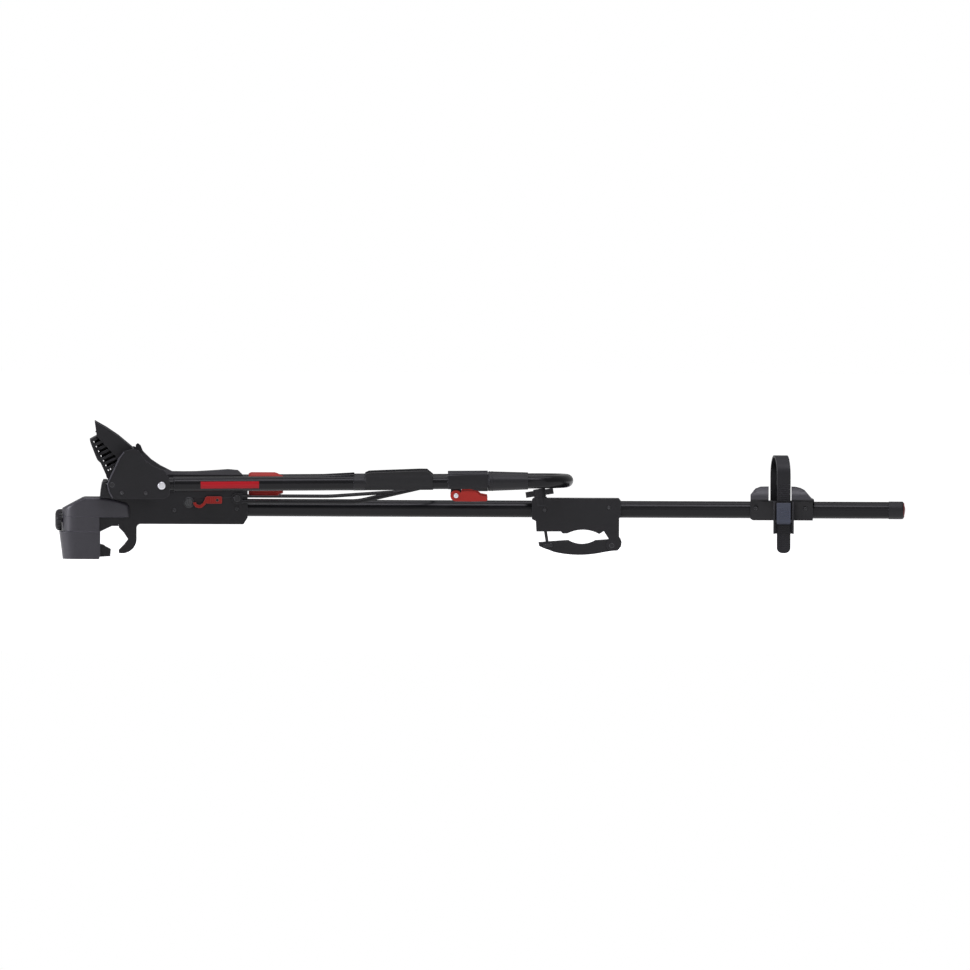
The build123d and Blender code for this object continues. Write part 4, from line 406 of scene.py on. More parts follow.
# a ring turned round an axis, from a closed outline of (radius, height) pairs
def latheMesh(name, profile, centre, axis):
    axis = Vector(axis).normalized()
    side = axis.orthogonal().normalized()
    other = axis.cross(side)
    rings = []
    for step in range(meshRule["latheSteps"]):
        turn = 2 * math.pi * step / meshRule["latheSteps"]
        out = side * math.cos(turn) + other * math.sin(turn)
        rings.append([Vector(centre) + out * radius + axis * height for radius, height in profile])
    return skinMesh(name, rings, closeRings=True)


def openEdges(count):
    return [(k, k + 1) for k in range(count - 1)]


# the hoop's own line: along its legs, up from them, and across
hoopLine = {"pivotX": 78.3, "pivotZ": 69.5, "tilt": 0.58, "rise": 2.0, "spread": 70.0}


def hoopPoint(along, up, y):
    tilt = math.radians(hoopLine["tilt"])
    x = hoopLine["pivotX"] + along * math.cos(tilt) - up * math.sin(tilt)
    z = hoopLine["pivotZ"] + along * math.sin(tilt) + up * math.cos(tilt)
    return Vector((x, y, z)) * mm


# Geometry Nodes: one tree for screws, one for ribs, one for beads along a path, one for threads
treeRule = {
    "headSides": 24, "headTaper": 0.78, "socketSides": 6, "socketLift": 0.85, "ribSides": 10,
    "beadSides": 8, "cornerSteps": 4, "threadSides": 4, "threadSteps": 16,
}


def newTree(name, inputs):
    tree = bpy.data.node_groups.new(name, "GeometryNodeTree")
    tree.interface.new_socket("Geometry", in_out="INPUT", socket_type="NodeSocketGeometry")
    for label, kind, value in inputs:
        socket = tree.interface.new_socket(label, in_out="INPUT", socket_type=kind)
        if value is not None:
            socket.default_value = value
    tree.interface.new_socket("Geometry", in_out="OUTPUT", socket_type="NodeSocketGeometry")
    return tree, tree.nodes.new("NodeGroupInput"), tree.nodes.new("NodeGroupOutput")


def treeNode(tree, kind, links=None, values=None, **settings):
    node = tree.nodes.new(kind)
    for key, value in settings.items():
        setattr(node, key, value)
    for label, source in (links or {}).items():
        tree.links.new(source, node.inputs[label])
    for label, value in (values or {}).items():
        node.inputs[label].default_value = value
    return node


# realised and given its material, as the export needs
def endTree(tree, given, out, shape):
    whole = treeNode(tree, "GeometryNodeRealizeInstances", {"Geometry": shape})
    dressed = treeNode(
        tree, "GeometryNodeSetMaterial",
        {"Geometry": whole.outputs["Geometry"], "Material": given.outputs["Material"]},
    )
    tree.links.new(dressed.outputs["Geometry"], out.inputs["Geometry"])
    return tree


# copies of a shape on points, its Z turned to "facing" and its X to "along"
def placeOnPoints(tree, given, shape):
    points = treeNode(tree, "GeometryNodeMeshToPoints", {"Mesh": given.outputs["Geometry"]})
    facing, along = (
        treeNode(tree, "GeometryNodeInputNamedAttribute", values={"Name": label},
                 data_type="FLOAT_VECTOR")
        for label in ("facing", "along")
    )
    up = treeNode(
        tree, "FunctionNodeAlignRotationToVector", {"Vector": facing.outputs["Attribute"]}, axis="Z"
    )
    turned = treeNode(
        tree, "FunctionNodeAlignRotationToVector",
        {"Rotation": up.outputs["Rotation"], "Vector": along.outputs["Attribute"]},
        axis="X", pivot_axis="Z",
    )
    placed = treeNode(
        tree, "GeometryNodeInstanceOnPoints",
        {"Points": points.outputs["Points"], "Instance": shape, "Rotation": turned.outputs["Rotation"]},
    )
    return placed.outputs["Instances"]


def screwTree():
    tree, given, out = newTree("placedScrews", [
        ("Head Radius", "NodeSocketFloat", 0.003), ("Head Height", "NodeSocketFloat", 0.0012),
        ("Socket Radius", "NodeSocketFloat", 0.0015), ("Material", "NodeSocketMaterial", None),
    ])
    top = treeNode(
        tree, "ShaderNodeMath", {0: given.outputs["Head Radius"]}, {1: treeRule["headTaper"]},
        operation="MULTIPLY",
    )
    head = treeNode(
        tree, "GeometryNodeMeshCone",
        {"Radius Top": top.outputs[0], "Radius Bottom": given.outputs["Head Radius"],
         "Depth": given.outputs["Head Height"]}, {"Vertices": treeRule["headSides"]},
    )
    socket = treeNode(
        tree, "GeometryNodeMeshCylinder",
        {"Radius": given.outputs["Socket Radius"], "Depth": given.outputs["Head Height"]},
        {"Vertices": treeRule["socketSides"]},
    )
    lift = treeNode(tree, "ShaderNodeCombineXYZ")
    raised = treeNode(
        tree, "ShaderNodeMath", {0: given.outputs["Head Height"]}, {1: treeRule["socketLift"]},
        operation="MULTIPLY",
    )
    tree.links.new(raised.outputs[0], lift.inputs["Z"])
    moved = treeNode(
        tree, "GeometryNodeTransform",
        {"Geometry": socket.outputs["Mesh"], "Translation": lift.outputs["Vector"]},
    )
    cut = treeNode(tree, "GeometryNodeMeshBoolean", operation="DIFFERENCE")
    tree.links.new(head.outputs["Mesh"], cut.inputs["Mesh 1"])
    tree.links.new(moved.outputs["Geometry"], cut.inputs["Mesh 2"])
    return endTree(tree, given, out, placeOnPoints(tree, given, cut.outputs["Mesh"]))


# a round bar that lies along its own Y, half sunk in the face it stands on
def ribTree():
    tree, given, out = newTree("placedRibs", [
        ("Rib Radius", "NodeSocketFloat", 0.0006), ("Rib Length", "NodeSocketFloat", 0.02),
        ("Material", "NodeSocketMaterial", None),
    ])
    bar = treeNode(
        tree, "GeometryNodeMeshCylinder",
        {"Radius": given.outputs["Rib Radius"], "Depth": given.outputs["Rib Length"]},
        {"Vertices": treeRule["ribSides"]},
    )
    laid = treeNode(
        tree, "GeometryNodeTransform", {"Geometry": bar.outputs["Mesh"]},
        {"Rotation": (math.pi / 2, 0.0, 0.0)},
    )
    return endTree(tree, given, out, placeOnPoints(tree, given, laid.outputs["Geometry"]))


def beadTree():
    tree, given, out = newTree("beadOnPath", [
        ("Bead Radius", "NodeSocketFloat", 0.0008), ("Corner Radius", "NodeSocketFloat", 0.002),
        ("Material", "NodeSocketMaterial", None),
    ])
    path = treeNode(tree, "GeometryNodeMeshToCurve", {"Mesh": given.outputs["Geometry"]})
    eased = treeNode(
        tree, "GeometryNodeFilletCurve",
        {"Curve": path.outputs["Curve"], "Radius": given.outputs["Corner Radius"]},
        {"Count": treeRule["cornerSteps"], "Limit Radius": True}, mode="POLY",
    )
    section = treeNode(
        tree, "GeometryNodeCurvePrimitiveCircle", {"Radius": given.outputs["Bead Radius"]},
        {"Resolution": treeRule["beadSides"]},
    )
    tube = treeNode(
        tree, "GeometryNodeCurveToMesh",
        {"Curve": eased.outputs["Curve"], "Profile Curve": section.outputs["Curve"]},
        {"Fill Caps": True},
    )
    return endTree(tree, given, out, tube.outputs["Mesh"])


def threadTree():
    tree, given, out = newTree("cutThread", [
        ("Turns", "NodeSocketFloat", 40.0), ("Core Radius", "NodeSocketFloat", 0.0025),
        ("Length", "NodeSocketFloat", 0.05), ("Ridge", "NodeSocketFloat", 0.0004),
        ("Start", "NodeSocketVector", (0.0, 0.0, 0.0)), ("Turn", "NodeSocketVector", (0.0, 0.0, 0.0)),
        ("Material", "NodeSocketMaterial", None),
    ])
    helix = treeNode(
        tree, "GeometryNodeCurveSpiral",
        {"Rotations": given.outputs["Turns"], "Start Radius": given.outputs["Core Radius"],
         "End Radius": given.outputs["Core Radius"], "Height": given.outputs["Length"]},
        {"Resolution": treeRule["threadSteps"]},
    )
    section = treeNode(
        tree, "GeometryNodeCurvePrimitiveCircle", {"Radius": given.outputs["Ridge"]},
        {"Resolution": treeRule["threadSides"]},
    )
    ridge = treeNode(
        tree, "GeometryNodeCurveToMesh",
        {"Curve": helix.outputs["Curve"], "Profile Curve": section.outputs["Curve"]},
        {"Fill Caps": True},
    )
    moved = treeNode(
        tree, "GeometryNodeTransform",
        {"Geometry": ridge.outputs["Mesh"], "Translation": given.outputs["Start"],
         "Rotation": given.outputs["Turn"]},
    )
    return endTree(tree, given, out, moved.outputs["Geometry"])


trees = {"screws": screwTree(), "ribs": ribTree(), "bead": beadTree(), "thread": threadTree()}
print("geometry trees built:", len(trees))


# runs a tree over points or a path, and keeps the result as a plain piece
def grow(name, treeName, verts, edges, finish, body, slot, facing=None, along=None, **sizes):
    seed = bpy.data.meshes.new(name + ".seed")
    seed.from_pydata([tuple(v) for v in verts], edges, [])
    for label, vectors in (("facing", facing), ("along", along)):
        if vectors is not None:
            layer = seed.attributes.new(label, "FLOAT_VECTOR", "POINT")
            for k, vector in enumerate(vectors):
                layer.data[k].vector = tuple(vector)
    carrier = bpy.data.objects.new(name + ".seed", seed)
    bpy.context.scene.collection.objects.link(carrier)
    modifier = carrier.modifiers.new(treeName, "NODES")
    tree = trees[treeName]
    modifier.node_group = tree
    for socket in tree.interface.items_tree:
        if socket.item_type != "SOCKET" or socket.in_out != "INPUT":
            continue
        key = socket.name.replace(" ", "")  # "Head Radius" is given as headRadius
        key = key[0].lower() + key[1:]
        if key in sizes:
            modifier[socket.identifier] = sizes[key]
        elif socket.name == "Material":
            modifier[socket.identifier] = finishes[finish]
    ready = carrier.evaluated_get(bpy.context.evaluated_depsgraph_get())
    mesh = bpy.data.meshes.new_from_object(ready)
    mesh.name = name
    bpy.data.objects.remove(carrier)
    return addPiece(name, cleanMesh(mesh), finish, body)


# a merged copy of a CAD node, with cuts across it where its faces are to bend
def nodeCopy(node, name, cuts=()):
    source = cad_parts[node]
    work = bmesh.new()
    work.from_mesh(source.data)
    bmesh.ops.remove_doubles(work, verts=work.verts, dist=meshRule["copyMerge"])
    for place, normal in cuts:
        parts = work.verts[:] + work.edges[:] + work.faces[:]
        bmesh.ops.bisect_plane(work, geom=parts, dist=meshRule["merge"],
                               plane_co=place, plane_no=normal)
    mesh = bpy.data.meshes.new(name)
    work.to_mesh(mesh)
    work.free()
    return mesh


# Ribbed ladder under the scoop: slots run in from each side to a web, and a shallow slit joins them
ladder = {
    "topX": -42.67, "topZ": 145.09, "lean": 27.0, "rail": 3.0, "reach": 62.0, "first": 7.2, "pitch": 8.9,
    "slot": 4.4, "slots": 7, "half": 47.0, "past": 1.0, "web": 4.0, "overlap": 0.5, "slit": 1.9,
    "smooth": 30.0,
}


# the six faces of a box whose eight corners start at a place in the list
def boxFaces(first):
    return [tuple(first + k for k in face) for face in
            ((0, 1, 2, 3), (7, 6, 5, 4), (0, 4, 5, 1), (1, 5, 6, 2), (2, 6, 7, 3), (3, 7, 4, 0))]


def makeLadder():
    lean = math.radians(ladder["lean"])
    along = Vector((math.cos(lean), 0, math.sin(lean)))
    down = Vector((math.sin(lean), 0, -math.cos(lean)))
    top = Vector((ladder["topX"], 0, ladder["topZ"]))
    verts, faces = [], []
    outside, web = ladder["half"] + ladder["past"], ladder["web"]
    inside = web + ladder["overlap"]
    cuts = [(-outside, -web, ladder["reach"]), (web, outside, ladder["reach"]),
            (-inside, inside, ladder["slit"])]
    for k in range(ladder["slots"]):
        centre = ladder["first"] + k * ladder["pitch"]
        for low, high, reach in cuts:
            faces += boxFaces(len(verts))
            for y in (low, high):
                for a, d in ((0, -0.5), (1, -0.5), (1, 0.5), (0, 0.5)):
                    point = top + along * (ladder["rail"] + a * reach)
                    point = point + down * (centre + d * ladder["slot"])
                    verts.append((point + Vector((0, y, 0))) * mm)
    cutter = bpy.data.meshes.new("ladderCutter")
    cutter.from_pydata([tuple(v) for v in verts], [], faces)
    cleanMesh(cutter)
    tool = bpy.data.objects.new("ladderCutter", cutter)
    body = bpy.data.objects.new("ladderBody", nodeCopy("scoop_ladder", "ladderBody"))
    for piece in (tool, body):
        bpy.context.scene.collection.objects.link(piece)
    cut = body.modifiers.new("slots", "BOOLEAN")
    cut.operation, cut.solver, cut.object, cut.use_self = "DIFFERENCE", "EXACT", tool, True
    ready = body.evaluated_get(bpy.context.evaluated_depsgraph_get())
    mesh = bpy.data.meshes.new_from_object(ready)
    for piece in (tool, body):
        bpy.data.objects.remove(piece)
    cleanMesh(mesh, ladder["smooth"])
    print("ladder cut:", len(mesh.polygons), "faces")
    piece = addPiece("scoop_ladder_rungs", mesh, "mouldedBlack", "scoop")
    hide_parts("scoop_ladder")


makeLadder()

# Front end: cover, arm and skirt share one plan, with the two front corners rounded
frontPlan = {"front": -88.5, "radius": 26.0, "half": 36.0, "armHalf": 32.0, "armKeep": 26.0, "steps": 16,
             "coverSmooth": 35.0, "armSmooth": 14.0}
skirt = {"rear": -26.0, "shoulder": -34.0, "tip": 0.7, "low": -9.4, "high": 15.0, "sunk": 0.6,
         "smooth": 35.0, "seamRear": 16.0, "bead": 0.55}


# how much of its full width the front end keeps at a place along X
def planShare(x):
    gap = frontPlan["front"] + frontPlan["radius"] - x
    share = min(1.0, max(0.0, gap / frontPlan["radius"]))
    return 1 - frontPlan["radius"] * (1 - math.sqrt(1 - share * share)) / frontPlan["half"]


def planStations():
    front, radius, steps = frontPlan["front"], frontPlan["radius"], frontPlan["steps"]
    return [front + radius * (1 - math.cos(math.pi / 2 * k / steps)) for k in range(1, steps + 1)]


# draws a mesh in to the plan, apart from what lies nearer to the middle than "keep"
def easeFront(mesh, keep=0.0):
    for vert in mesh.vertices:
        if abs(vert.co.y) > keep * mm:
            vert.co.y *= planShare(vert.co.x / mm)


def makeFrontEnd():
    cuts = [(Vector((x, 0, 0)) * mm, Vector((1, 0, 0))) for x in planStations()]
    cover = nodeCopy("front_cover", "front_cover_eased", cuts)
    easeFront(cover)
    cleanMesh(cover, frontPlan["coverSmooth"])
    piece = addPiece("front_cover_eased", cover, "shellGrey", "frame")
    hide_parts("front_cover")
    arm = nodeCopy("base_body", "base_body_eased", cuts)
    easeFront(arm, frontPlan["armKeep"])
    cleanMesh(arm, frontPlan["armSmooth"])
    piece = addPiece("base_body_eased", arm, "mouldedBlack", "frame")
    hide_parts("base_body")
    stations = [skirt["rear"], skirt["shoulder"], *sorted(planStations(), reverse=True),
                frontPlan["front"] + skirt["tip"]]
    low, high = skirt["low"], skirt["high"]
    for side, hand in sides:
        rings = []
        for x in stations:
            outer = hand * frontPlan["half"] * planShare(x)
            inner = hand * (frontPlan["armHalf"] - skirt["sunk"]) * planShare(x)
            corners = ((outer, low), (outer, high), (inner, high), (inner, low))
            rings.append([Vector((x, y, z)) * mm for y, z in corners])
        wall = skinMesh(f"housing_skirt_{side}", rings, smoothAngle=skirt["smooth"])
        addPiece(f"housing_skirt_{side}", wall, "shellGrey", "frame")
        seam = [Vector((x, hand * frontPlan["half"] * planShare(x), high)) * mm
                for x in [skirt["seamRear"], *stations]]
        grow(f"cover_seam_{side}", "bead", seam, openEdges(len(seam)), "shellGrey",
             "frame", "black_plastic", beadRadius=skirt["bead"] * mm, cornerRadius=0.0)


makeFrontEnd()

# Wheel tray with the rims of its troughs rolled in, so that their tops catch the light
trayRim = {"low": 49.0, "top": 70.0, "roll": 11.0, "steps": 10, "keep": 20.0, "greyFrom": 49.0,
           "smooth": 35.0}


def makeTray():
    low, top, steps = trayRim["low"], trayRim["top"], trayRim["steps"]
    cuts = [(Vector((0, 0, low + (top - low) * k / steps)) * mm, Vector((0, 0, 1)))
            for k in range(steps)]
    mesh = nodeCopy("wheel_tray", "wheel_tray_rolled", cuts)
    for vert in mesh.vertices:
        share = (vert.co.z / mm - low) / (top - low)
        if share > 0 and abs(vert.co.y) > trayRim["keep"] * mm:
            vert.co.y -= math.copysign(trayRim["roll"] * share * share * mm, vert.co.y)
    cleanMesh(mesh, trayRim["smooth"])
    piece = addPiece("wheel_tray_rolled", mesh, "mouldedBlack", "tray")
    piece.data.materials.append(finishes["shellGrey"])  # faces above the given height take the lighter grey finish: painted light on the lit tops of the trough walls
    for face in piece.data.polygons:
        face.material_index = int(face.center.z > trayRim["greyFrom"] * mm)
    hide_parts("wheel_tray")


makeTray()
print("front end and tray made")

# Plain red stripe on the left leg's cover
stripe = {"from": 65.7, "to": 163.7, "radius": 12.2, "proud": 0.14, "low": -37.0, "high": 20.0,
          "steps": 20}


def makeStripe():
    rings = []
    outer, inner = stripe["radius"] + stripe["proud"], stripe["radius"] - stripe["proud"]
    for along in (stripe["from"], stripe["to"]):
        ring = []
        for radius, order in ((outer, 1), (inner, -1)):
            arc = [stripe["low"] + (stripe["high"] - stripe["low"]) * k / stripe["steps"]
                   for k in range(stripe["steps"] + 1)][::order]
            for angle in arc:
                turn = math.radians(angle)
                ring.append(hoopPoint(
                    along, hoopLine["rise"] + radius * math.sin(turn),
                    -hoopLine["spread"] - radius * math.cos(turn),
                ))
        rings.append(ring)
    addPiece("side_stripe", skinMesh("side_stripe", rings), "stripeRed", "hoop_legs")


makeStripe()

# Raised rim down the front edge of each cradle cheek, in the lighter grey finish: a painted highlight
# line along the edge that catches the light
cheekRim = {
    "frontX": -14.3, "bottomZ": 47.1, "length": 106.9, "height": 84.4, "face": 87.0,
    "inset": 1.6, "sharpest": 0.35, "radius": 1.05, "corner": 4.0,
    "shares": [(0.0, 0.29), (0.035, 0.12), (0.09, 0.0), (0.90, 0.0), (0.985, 0.06), (1.0, 0.20),
               (0.985, 0.42), (0.905, 0.573), (0.745, 0.648), (0.61, 0.76), (0.505, 0.955),
               (0.43, 1.0), (0.27, 0.945), (0.195, 0.83)],
}


# an outline moved inwards by an even distance, corner by corner
def insetOutline(points, distance):
    moved = []
    count = len(points)
    for k, point in enumerate(points):
        before = (point - points[k - 1]).normalized()
        after = (points[(k + 1) % count] - point).normalized()
        normal = Vector((-(before.y + after.y), before.x + after.x)).normalized()
        spread = max(cheekRim["sharpest"], normal.dot(Vector((-before.y, before.x))))
        moved.append(point + normal * distance / spread)
    return moved


def makeCheekRims():
    frontX, bottomZ = cheekRim["frontX"], cheekRim["bottomZ"]
    outline = [Vector((frontX + a * cheekRim["length"], bottomZ + u * cheekRim["height"]))
               for a, u in cheekRim["shares"]]
    inner = insetOutline(outline, cheekRim["inset"])
    for side, hand in sides:
        edge = inner[-2:] + inner[:3]
        verts = [Vector((p.x, hand * cheekRim["face"], p.y)) * mm for p in edge]
        grow(f"cheek_rim_{side}", "bead", verts, openEdges(len(verts)), "shellGrey", "frame",
             "black_plastic", beadRadius=cheekRim["radius"] * mm, cornerRadius=cheekRim["corner"] * mm)


makeCheekRims()

# Recessed screws, each by its place and the way it faces
socketShare = 0.48  # of the head's radius
screwSets = {
    "tray_screws": {"body": "tray", "head": 3.6, "height": 1.4, "at": [
        (1077.0, -30.0, 34.0, 0, -1, 0), (1160.0, -30.0, 34.0, 0, -1, 0),
        (1077.0, 30.0, 34.0, 0, 1, 0), (1160.0, 30.0, 34.0, 0, 1, 0)]},
    "base_screws": {"body": "frame", "head": 3.4, "height": 1.3, "at": [
        (100.0, -32.0, 27.0, 0, -1, 0), (205.0, -32.0, 30.0, 0, -1, 0),
        (100.0, 32.0, 27.0, 0, 1, 0), (205.0, 32.0, 30.0, 0, 1, 0)]},
    "clamp_screws": {"body": "rear_clamp", "head": 3.2, "height": 1.2, "at": [
        (722.0, -31.0, 30.0, 0, -1, 0), (830.0, -31.0, 34.0, 0, -1, 0),
        (722.0, 31.0, 30.0, 0, 1, 0), (830.0, 31.0, 34.0, 0, 1, 0)]},
    "cheek_screws": {"body": "frame", "head": 3.4, "height": 1.2, "at": [
        (12.0, -87.0, 57.0, 0, -1, 0), (52.0, -87.0, 57.0, 0, -1, 0),
        (12.0, 87.0, 57.0, 0, 1, 0), (52.0, 87.0, 57.0, 0, 1, 0)]},
}


def makeScrews():
    for name, rule in screwSets.items():
        places = [Vector(spot[:3]) * mm for spot in rule["at"]]
        facing = [Vector(spot[3:]) for spot in rule["at"]]
        grow(name, "screws", places, [], "blackSteel", rule["body"], "plain_steel", facing=facing,
             along=[Vector((1, 0, 0))] * len(places), headRadius=rule["head"] * mm,
             headHeight=rule["height"] * mm, socketRadius=rule["head"] * socketShare * mm)


makeScrews()

# Ratchet ribs on the outer face of the strap's near leg
strapRibs = {"x": 1123.6, "face": -35.0, "low": -32.0, "high": 78.0, "pitch": 3.3, "length": 17.0,
             "radius": 0.55}


def makeStrapRibs():
    count = int((strapRibs["high"] - strapRibs["low"]) / strapRibs["pitch"])
    verts = [Vector((strapRibs["x"], strapRibs["face"], strapRibs["low"] + k * strapRibs["pitch"])) * mm
             for k in range(count)]
    grow("strap_ribs", "ribs", verts, [], "strapNylon", "tray", "black_plastic",
         facing=[Vector((0, -1, 0))] * count, along=[Vector((0, 0, 1))] * count,
         ribRadius=strapRibs["radius"] * mm, ribLength=strapRibs["length"] * mm)


makeStrapRibs()

# Grip ridges: rows of short bars on the lever and the latch, where fingers pull
gripRows = {
    "lever_grips": {"body": "strap_lever", "finish": "leverBlue", "slot": "lever_plastic",
                    "first": (1123.5, -49.2, 18.0), "step": (0, 0, 3.4), "count": 6,
                    "facing": (0, -1, 0), "along": (0, 0, 1), "length": 17.0, "radius": 0.6},
    "latch_grips": {"body": "latch", "finish": "redPlastic", "slot": "red_plastic",
                    "first": (161.0, -42.0, 44.5), "step": (3.0, 0, 0), "count": 3,
                    "facing": (0, -1, 0), "along": (1, 0, 0), "length": 7.5, "radius": 0.5},
}


def makeGrips():
    for name, row in gripRows.items():
        verts = [(Vector(row["first"]) + Vector(row["step"]) * k) * mm for k in range(row["count"])]
        grow(name, "ribs", verts, [], row["finish"], row["body"], row["slot"],
             facing=[Vector(row["facing"])] * row["count"], along=[Vector(row["along"])] * row["count"],
             ribRadius=row["radius"] * mm, ribLength=row["length"] * mm)


makeGrips()

# Cross ribs in the tyre troughs of the scoop and the tray
troughSteps = 18
troughRibs = {
    "scoop_ribs": {"body": "scoop", "axisPoint": (-13.4, 199.9), "run": (62.0, -44.4), "radius": 46.0,
                   "spread": 36.0, "from": 9.0, "to": 66.0, "count": 9, "bead": 0.8},
    "tray_ribs_front": {"body": "tray", "axisPoint": (1067.6, 84.5), "run": (1.0, 0.0), "radius": 34.0,
                        "spread": 50.0, "from": 6.0, "to": 27.0, "count": 4, "bead": 0.8},
    "tray_ribs_rear": {"body": "tray", "axisPoint": (1067.6, 84.5), "run": (1.0, 0.0), "radius": 34.0,
                       "spread": 50.0, "from": 72.0, "to": 90.0, "count": 4, "bead": 0.8},
}


def makeTroughRibs():
    for name, rule in troughRibs.items():
        run = Vector((rule["run"][0], 0, rule["run"][1])).normalized()
        normal = Vector((-run.z, 0, run.x))
        start = Vector((rule["axisPoint"][0], 0, rule["axisPoint"][1]))
        verts, edges = [], []
        for k in range(rule["count"]):
            share = rule["from"] + (rule["to"] - rule["from"]) * k / (rule["count"] - 1)
            for s in range(troughSteps + 1):
                turn = math.radians(rule["spread"] * (2 * s / troughSteps - 1))
                point = start + run * share + Vector((0, math.sin(turn), 0)) * rule["radius"]
                verts.append((point - normal * rule["radius"] * math.cos(turn)) * mm)
                if s:
                    edges.append((len(verts) - 2, len(verts) - 1))
        grow(name, "bead", verts, edges, "mouldedBlack", rule["body"], "black_plastic",
             beadRadius=rule["bead"] * mm, cornerRadius=0.0)


makeTroughRibs()

# Thread on the rear clamp's bolt, below its knob
boltThread = {"top": (713.2, -22.0, 59.0), "lean": 9.0, "from": 9.0, "to": 93.0, "pitch": 1.25,
              "core": 2.5, "sunk": 0.05, "ridge": 0.32}


def makeThread():
    lean = math.radians(boltThread["lean"])
    down = Vector((math.sin(lean), 0, -math.cos(lean)))
    start = (Vector(boltThread["top"]) + down * boltThread["from"]) * mm
    length = boltThread["to"] - boltThread["from"]
    grow("bolt_thread", "thread", [(0, 0, 0)], [], "blackSteel", "bolt", "plain_steel",
         turns=length / boltThread["pitch"], coreRadius=(boltThread["core"] - boltThread["sunk"]) * mm,
         length=length * mm, ridge=boltThread["ridge"] * mm, start=tuple(start),
         turn=(0.0, math.pi - lean, 0.0))


makeThread()

# Rings turned on a lathe: the rim round the lens and the collar round the lock
turnedRings = {
    "lens_rim": {"body": "frame", "finish": "redPlastic", "slot": "red_plastic",
                 "centre": (1325.4, 0, 30.6), "axis": (1, 0, 0),
                 "profile": [(11.0, -1.0), (12.3, -1.0), (12.3, 0.5), (11.9, 0.9), (11.3, 0.9),
                             (11.0, 0.5)]},
    "lock_collar": {"body": "frame", "finish": "darkZinc", "slot": "barrel_metal",
                    "centre": (124.3, -32.0, 40.0), "axis": (0, -1, 0),
                    "profile": [(7.2, -0.5), (9.0, -0.5), (9.0, 0.9), (8.5, 1.4), (7.6, 1.4),
                                (7.2, 0.9)]},
}


def makeTurned():
    for name, ring in turnedRings.items():
        profile = [(radius * mm, height * mm) for radius, height in ring["profile"]]
        mesh = latheMesh(name, profile, Vector(ring["centre"]) * mm, ring["axis"])
        addPiece(name, mesh, ring["finish"], ring["body"])


makeTurned()

# Rings that fill the steps along the hoop: from cover to bumper, and from collar to sleeve
legRings = {
    "cover_tails": {"body": "hoop_legs", "from": 323.0, "to": 342.6, "inner": 11.2, "outer": 12.5,
                    "bevel": 0.5},
    "sleeve_lips": {"body": "hoop_top", "from": 548.15, "to": 551.0, "inner": 11.3, "outer": 14.3,
                    "bevel": 0.5},
}


def makeLegRings():
    lean = math.radians(hoopLine["tilt"])
    axis = (math.cos(lean), 0, math.sin(lean))
    for name, ring in legRings.items():
        span, inner, outer, bevel = ring["to"] - ring["from"], ring["inner"], ring["outer"], ring["bevel"]
        profile = [(inner, 0.0), (outer - bevel, 0.0), (outer, bevel), (outer, span - bevel),
                   (outer - bevel, span), (inner, span)]
        for side, hand in sides:
            centre = hoopPoint(ring["from"], hoopLine["rise"], hand * hoopLine["spread"])
            mesh = latheMesh(f"{name}_{side}", [(r * mm, h * mm) for r, h in profile], centre, axis)
            addPiece(f"{name}_{side}", mesh, "mouldedBlack", ring["body"])


makeLegRings()

# Bumpers and collars with rounded sides, so that the light runs along their tops
softSides = {
    "tyre_bumper": {"finish": "softRubber", "slot": "rubber", "power": 2.2, "depth": 0.9, "steps": 18,
                    "keep": 11.6, "smooth": 32.0},
    "leg_collar": {"finish": "mouldedBlack", "slot": "black_plastic", "power": 3.0, "depth": 0.8,
                   "steps": 14, "keep": 11.6, "smooth": 32.0},
}


def makeSoftSides():
    for stem, rule in softSides.items():
        power, keep = rule["power"], rule["keep"] * mm
        for side, hand in sides:
            node = f"{stem}_{side}"
            low, high = (Vector(corner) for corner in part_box(node))
            middle, half = (low.z + high.z) / 2, (high.z - low.z) / 2
            cuts = [(Vector((0, 0, low.z + (high.z - low.z) * k / rule["steps"])), Vector((0, 0, 1)))
                    for k in range(1, rule["steps"])]
            mesh = nodeCopy(node, node + "_rounded", cuts)
            centre = hand * hoopLine["spread"] * mm
            for vert in mesh.vertices:
                rise = min(1.0, abs(vert.co.z - middle) / half) * rule["depth"]
                out = vert.co.y - centre
                if abs(out) > keep:
                    drawn = max(keep, abs(out) * (1 - rise ** power) ** (1 / power))
                    vert.co.y = centre + math.copysign(drawn, out)
            cleanMesh(mesh, rule["smooth"])
            piece = addPiece(node + "_rounded", mesh, rule["finish"], "hoop_legs")
            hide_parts(node)


makeSoftSides()

# Beads round the ends of the leg covers and the sleeves
beadSteps = 40
endBeads = {
    "cover_beads": {"body": "hoop_legs", "at": [(21.0, 12.2), (323.0, 12.2)], "bead": 0.6},
    "sleeve_beads": {"body": "hoop_top", "at": [(550.6, 14.6), (555.5, 14.6)], "bead": 0.6},
}


def makeEndBeads():
    for name, rule in endBeads.items():
        verts, edges = [], []
        for along, radius in rule["at"]:
            for hand in (-1, 1):
                first = len(verts)
                for k in range(beadSteps):
                    turn = 2 * math.pi * k / beadSteps
                    verts.append(hoopPoint(
                        along, hoopLine["rise"] + radius * math.sin(turn),
                        hand * hoopLine["spread"] + radius * math.cos(turn),
                    ))
                    edges.append((first + k, first + (k + 1) % beadSteps))
        grow(name, "bead", verts, edges, "mouldedBlack", rule["body"], "black_plastic",
             beadRadius=rule["bead"] * mm, cornerRadius=0.0)


makeEndBeads()
print("detail pieces made")

